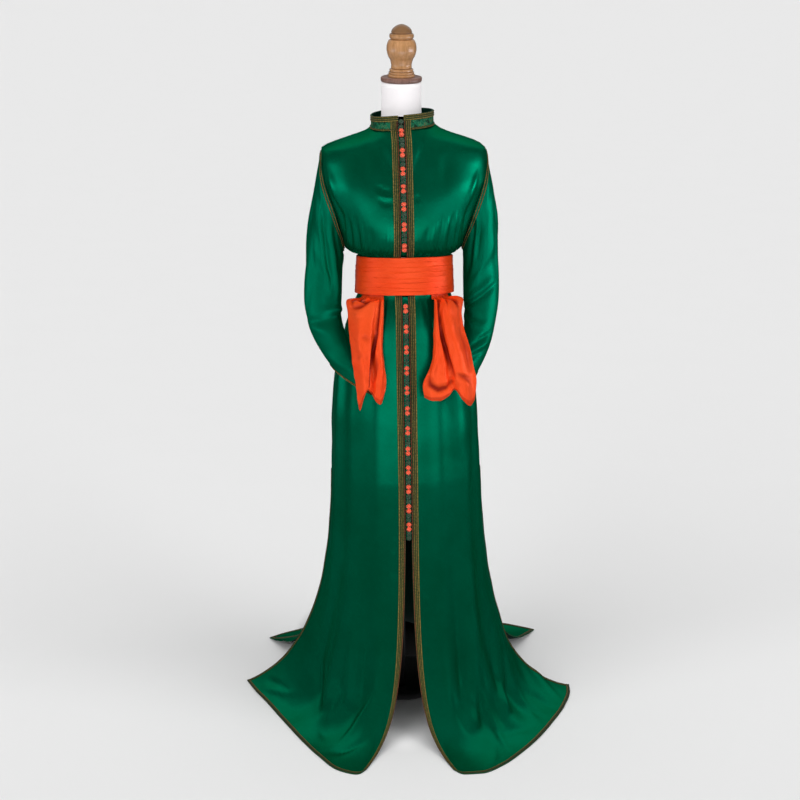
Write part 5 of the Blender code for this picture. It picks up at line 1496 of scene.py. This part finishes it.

# %% [markdown]
# The disc and the knob are lathe-turned, so each is one profile spun about its axis, then tipped
# forward with the neck. The knob has three rings at its foot and one under its dome, parted by grooves
# from a fine chisel. Its dome is coloured darker: it shows end grain, which drinks more stain, and
# the darker colour is also painted shade where the dome faces the dark space above. The knob is
# varnished and has a clear bright coat; the disc is only stained and waxed, so its shine is dull.

# %% Turned wood
# The knob's profile: radius and height above the disc
KNOB = [
    (0.0322, 0.0004), (0.0324, 0.0050), (0.0314, 0.0060), (0.0284, 0.0068), (0.0302, 0.0077),
    (0.0304, 0.0106), (0.0292, 0.0115), (0.0258, 0.0122), (0.0280, 0.0131), (0.0284, 0.0172),
    (0.0270, 0.0184), (0.0224, 0.0195), (0.0248, 0.0209), (0.0242, 0.0268), (0.0250, 0.0320),
    (0.0270, 0.0398), (0.0310, 0.0470), (0.0338, 0.0545), (0.0354, 0.0640), (0.0350, 0.0730),
    (0.0326, 0.0806), (0.0294, 0.0862), (0.0244, 0.0882), (0.0272, 0.0897), (0.0290, 0.0950),
    (0.0274, 0.1002), (0.0226, 0.1017), (0.0247, 0.1032), (0.0230, 0.1090), (0.0184, 0.1147),
    (0.0112, 0.1195), (0.0050, 0.1218),
]
DISC_HIGH = 0.011
DOME_FOOT = NECK_TOP + DISC_HIGH + 0.093


def turned_wood(name, deep, lit, end_grain_and_shade=None, **shader):
    made, tree, bsdf = new_material(name, **shader)
    metres = node(tree, "TexCoord").outputs["Object"]
    grain = node(tree, "Mapping", {"Vector": metres, "Scale": (1, 1, 0.15)})
    noise = node(tree, "TexNoise", {"Vector": grain.outputs[0], "Scale": 190.0, "Detail": 4.0,
                                    "Distortion": 0.6})
    ramp = node(tree, "ValToRGB", {"Fac": noise.outputs["Fac"]},
                stops=[(0.32, colour(deep)), (0.66, colour(lit))])
    shade = ramp.outputs["Color"]
    # the dome's colour is darker: end grain that takes more stain, and painted shade where it faces up
    if end_grain_and_shade:
        height = node(tree, "SeparateXYZ", {"Vector": metres})
        above = node(tree, "MapRange", {"Value": height.outputs["Z"], "From Min": DOME_FOOT,
                                        "From Max": DOME_FOOT + 0.012})
        mixed = node(tree, "Mix", {0: above.outputs["Result"], 6: shade, 7: colour(end_grain_and_shade)},
                     data_type="RGBA")
        shade = mixed.outputs[2]
    tree.links.new(shade, bsdf.inputs["Base Color"])
    bump = node(tree, "Bump", {"Height": noise.outputs["Fac"], "Strength": 0.06, "Distance": 0.0003})
    tree.links.new(bump.outputs["Normal"], bsdf.inputs["Normal"])
    return made


dark_wood = turned_wood("beech_stained_dark", "#68483c", "#8c6a5e", Roughness=0.38, Coat_Weight=0.3,
                        Coat_Roughness=0.3)
gold_wood = turned_wood("beech_varnished", "#a6784a", "#c08e60", "#7c5a3a", Roughness=0.30, Coat_Weight=1.0,
                        Coat_Roughness=0.10)
print("woods:", dark_wood.name, gold_wood.name)

# %% [markdown]
# The Spin operator is Blender's lathe: it sweeps a half profile round the axis and merges the seam.

# %% Disc and knob
def turned(name, profile, base, tilt, material, slot_name, packed, steps=64):
    """Spins a profile of (radius, height) pairs into a closed body and tips it with the neck."""
    bm = bmesh.new()
    corners = [bm.verts.new((r, 0, z)) for r, z in profile]
    edges = [bm.edges.new(pair) for pair in zip(corners, corners[1:])]
    bmesh.ops.spin(bm, geom=corners + edges, cent=(0, 0, 0), axis=(0, 0, 1), angle=2 * math.pi, steps=steps,
                   use_merge=True)
    bmesh.ops.remove_doubles(bm, verts=bm.verts, dist=1e-6)
    bmesh.ops.recalc_face_normals(bm, faces=bm.faces)
    c, s = math.cos(tilt), math.sin(tilt)
    for vert in bm.verts:
        x, y, z = vert.co
        vert.co = (x + base[0], y * c - z * s + base[1], base[2] + y * s + z * c)
    return dress(as_object(name, bm), material, slot_name, packed)


def rounded(table, steps):
    """A smooth profile through turned shapes, closed to the axis at both ends."""
    run = [0.0]
    for (r0, z0), (r1, z1) in zip(table, table[1:]):
        run.append(run[-1] + math.hypot(r1 - r0, z1 - z0))
    rows = [(at, r, z) for at, (r, z) in zip(run, table)]
    wants = np.linspace(0, run[-1], steps)
    line = [(float(blend(rows, w, 1)), float(blend(rows, w, 2))) for w in wants]
    return [(0.0, line[0][1])] + line + [(0.0, line[-1][1] + 0.0008)]


cap_z = NECK_TOP + 0.0005
disc = [(0.0, 0.0), (0.0462, 0.0), (0.0480, 0.0008), (0.0490, 0.0026), (0.0490, 0.0084), (0.0482, 0.0102),
        (0.0462, 0.0110), (0.0, 0.0110)]
turned("neck_disc", disc, (0, 0, cap_z), NECK_TILT, dark_wood, "dark_brown_wood", "neck_cap")
lift = DISC_HIGH + cap_z - NECK_TOP
turned("turned_knob", rounded(KNOB, 170),
       (0, -lift * math.sin(NECK_TILT), NECK_TOP + lift * math.cos(NECK_TILT)), NECK_TILT,
       gold_wood, "gold_brown_wood", "finial")
print("disc and knob turned")

# %% [markdown]
# Under the skirt a steel pole stands in a weighted round base, both in satin black powder coat. The
# coat is sprayed as dry powder and baked, which leaves a fine orange peel that breaks up the light.

# %% Stand
coat, tree, bsdf = new_material("steel_powder_coated_black", Roughness=0.5, Specular_IOR_Level=0.4)
metres = node(tree, "TexCoord").outputs["Object"]
peel = node(tree, "TexNoise", {"Vector": metres, "Scale": 700.0, "Detail": 1.0})
ramp = node(tree, "ValToRGB", {"Fac": peel.outputs["Fac"]},
            stops=[(0.3, colour("#1c1c1c")), (0.7, colour("#2c2c2c"))])
tree.links.new(ramp.outputs["Color"], bsdf.inputs["Base Color"])
bump = node(tree, "Bump", {"Height": peel.outputs["Fac"], "Strength": 0.15, "Distance": 0.0003})
tree.links.new(bump.outputs["Normal"], bsdf.inputs["Normal"])
pole = [(0.0, 0.0184), (0.0118, 0.0184), (0.0125, 0.0191), (0.0125, 0.7990), (0.0118, 0.7996), (0.0, 0.7996)]
turned("pole_steel", pole, (0, 0.035, 0), 0.0, coat, "black_metal", "stand_pole", 40)
base = [(0.0, 0.0), (0.1280, 0.0), (0.1296, 0.0008), (0.1300, 0.0020), (0.1300, 0.0135), (0.1290, 0.0155),
        (0.1262, 0.0172), (0.1220, 0.0180), (0.0, 0.0180)]
turned("base_steel", base, (0, 0.110, 0), 0.0, coat, "black_metal", "stand_base", 96)
print("form and stand made")

# %% [markdown]
# ## Floor and light
#
# The object stands on plain pale paper that runs out of sight. Under the skirt hardly any light
# reaches the paper, and some comes back through the gap between the two fronts, so it is toned down
# in an oval patch there and lifted again in a small one.

# %% Floor
bm = bmesh.new()
bmesh.ops.create_grid(bm, x_segments=1, y_segments=1, size=150)
floor = as_object("studio_floor", bm, smooth=False)
paper, tree, bsdf = new_material("matt_paper_pale", Roughness=1.0, Specular_IOR_Level=0.0)
metres = node(tree, "TexCoord").outputs["Object"]
grain = node(tree, "TexNoise", {"Vector": metres, "Scale": 3.0})
ramp = node(tree, "ValToRGB", {"Fac": grain.outputs["Fac"]},
            stops=[(0.0, (0.795, 0.795, 0.795, 1)), (1.0, (0.805, 0.805, 0.805, 1))])
SHADE_Y = 0.40          # the middle of the shade under the skirt
deep = node(tree, "Mapping", {"Vector": metres, "Location": (0, -SHADE_Y, 0), "Scale": (1.5, 1.0, 1.0)})
away = node(tree, "VectorMath", {0: deep.outputs[0]}, operation="LENGTH")
shade = node(tree, "MapRange", {"Value": away.outputs["Value"], "From Min": 0.30, "From Max": 0.42,
                                "To Min": 0.06}, interpolation_type="SMOOTHSTEP")
GAP_X, GAP_Y, GAP_WIDE, GAP_DEEP = -0.012, -0.19, 0.085, 0.15      # the lit paper between the fronts
gap = node(tree, "Mapping", {"Vector": metres, "Location": (-GAP_X / GAP_WIDE, -GAP_Y / GAP_DEEP, 0),
                             "Scale": (1 / GAP_WIDE, 1 / GAP_DEEP, 1)})
between = node(tree, "VectorMath", {0: gap.outputs[0]}, operation="LENGTH")
lift = node(tree, "MapRange", {"Value": between.outputs["Value"], "From Min": 0.4, "From Max": 1.0,
                               "To Min": 1.22, "To Max": 1.0}, interpolation_type="SMOOTHSTEP")
level = node(tree, "Math", {0: shade.outputs[0], 1: lift.outputs[0]}, operation="MULTIPLY")
toned = node(tree, "VectorMath", {0: ramp.outputs["Color"], 1: level.outputs[0]}, operation="MULTIPLY")
tree.links.new(toned.outputs[0], bsdf.inputs["Base Color"])
floor.data.materials.append(paper)
floor.visible_glossy = False        # the satin shows the low light round it, not the bare paper
print("floor:", paper.name)

# %% [markdown]
# ## Surroundings and light
#
# The lamps are soft, as in a studio. Satin shows what it faces: a long low softbox in front gives it
# light bands under the bust and on each fold, a softbox on either side with a narrow beam lights the
# sleeves, and the dark space above leaves it deep green where it faces up. Two broad window lamps and
# a ceiling light the rest and throw no highlight. The camera sees a plain pale background instead.

# %% Surroundings
world = bpy.data.worlds.new("studio")
bpy.context.scene.world = world
world.use_nodes = True
tree = world.node_tree
shown = tree.nodes["Background"]
shown.inputs["Color"].default_value = (0.80, 0.80, 0.80, 1)
direction = node(tree, "TexCoord").outputs["Generated"]
parts = node(tree, "SeparateXYZ", {"Vector": direction})
height = node(tree, "MapRange", {"Value": parts.outputs["Z"], "From Min": -1.0, "From Max": 1.0})
sky = node(tree, "ValToRGB", {"Fac": height.outputs[0]}, stops=[
    (0.0, (0.20, 0.20, 0.21, 1)), (0.30, (0.13, 0.13, 0.14, 1)), (0.42, (0.085, 0.085, 0.09, 1)),
    (0.52, (0.07, 0.07, 0.07, 1)), (0.61, (0.065, 0.065, 0.065, 1)), (0.875, (0.08, 0.08, 0.08, 1)),
    (1.0, (0.11, 0.11, 0.11, 1))])
behind = node(tree, "MapRange", {"Value": parts.outputs["Y"], "From Min": 0.10, "From Max": 0.65},
              interpolation_type="SMOOTHSTEP")
above = node(tree, "MapRange", {"Value": parts.outputs["Z"], "From Min": 0.10, "From Max": 0.45},
             interpolation_type="SMOOTHSTEP")
share = node(tree, "Math", {0: behind.outputs[0], 1: above.outputs[0]}, operation="MULTIPLY")
glow = node(tree, "Math", {0: share.outputs[0], 1: 0.37}, operation="MULTIPLY")
lifted = node(tree, "VectorMath", {0: sky.outputs["Color"], 1: glow.outputs[0]}, operation="ADD")
light = node(tree, "Background", {"Color": lifted.outputs[0]})
straight = node(tree, "LightPath").outputs["Is Camera Ray"]
pick = node(tree, "MixShader", {0: straight, 1: light.outputs[0], 2: shown.outputs[0]})
tree.links.new(pick.outputs[0], tree.nodes["World Output"].inputs["Surface"])
print("background:", [round(c, 2) for c in shown.inputs["Color"].default_value])

# %% [markdown]
# A softbox is an area lamp that shows only in shiny surfaces and adds no plain light, and its beam
# is narrowed by its spread. The windows and the ceiling are suns with a wide angle, which light
# evenly at any distance.

# %% Lamps
def soft_sun(name, direction, strength, degrees):
    """A broad lamp that gives no highlight of its own."""
    lamp = bpy.data.objects.new(name, bpy.data.lights.new(name, "SUN"))
    lamp.rotation_euler = aim(direction)
    lamp.data.energy, lamp.data.angle = strength, math.radians(degrees)
    lamp.visible_glossy = False
    bpy.context.scene.collection.objects.link(lamp)


SOFTBOX_TINT = (0.94, 1.0, 1.16)        # a cool white


def softbox(name, place, toward, wide, high, radiance, spread):
    """A lit panel that the cloth can show but the camera can't see; spread narrows its beam."""
    lamp = bpy.data.objects.new(name, bpy.data.lights.new(name, "AREA"))
    lamp.data.shape, lamp.data.size, lamp.data.size_y = "RECTANGLE", wide, high
    lamp.data.energy, lamp.data.spread = radiance * math.pi * wide * high, math.radians(spread)
    lamp.data.color = SOFTBOX_TINT
    lamp.location, lamp.rotation_euler = place, aim(toward)
    lamp.visible_camera = lamp.visible_diffuse = False
    bpy.context.scene.collection.objects.link(lamp)


softbox("front_softbox", (0.0, -1.35, 0.84), (0, 1, 0.28), wide=3.4, high=0.42, radiance=0.34, spread=90)
softbox("side_softbox_left", (-2.2, -0.6, 1.10), (1, 0.3, 0.17), wide=2.4, high=0.70,
        radiance=0.20, spread=66)
softbox("side_softbox_right", (2.2, -0.6, 1.10), (-1, 0.3, 0.17), wide=2.4, high=0.70,
        radiance=0.46, spread=66)
soft_sun("window_left", (0.62, 0.60, -0.36), strength=1.75, degrees=50)
soft_sun("window_right", (-0.66, 0.52, -0.36), strength=1.58, degrees=50)
soft_sun("ceiling", (0.0, 0.25, -1.0), strength=1.40, degrees=70)
bpy.context.scene.view_settings.view_transform = "Standard"
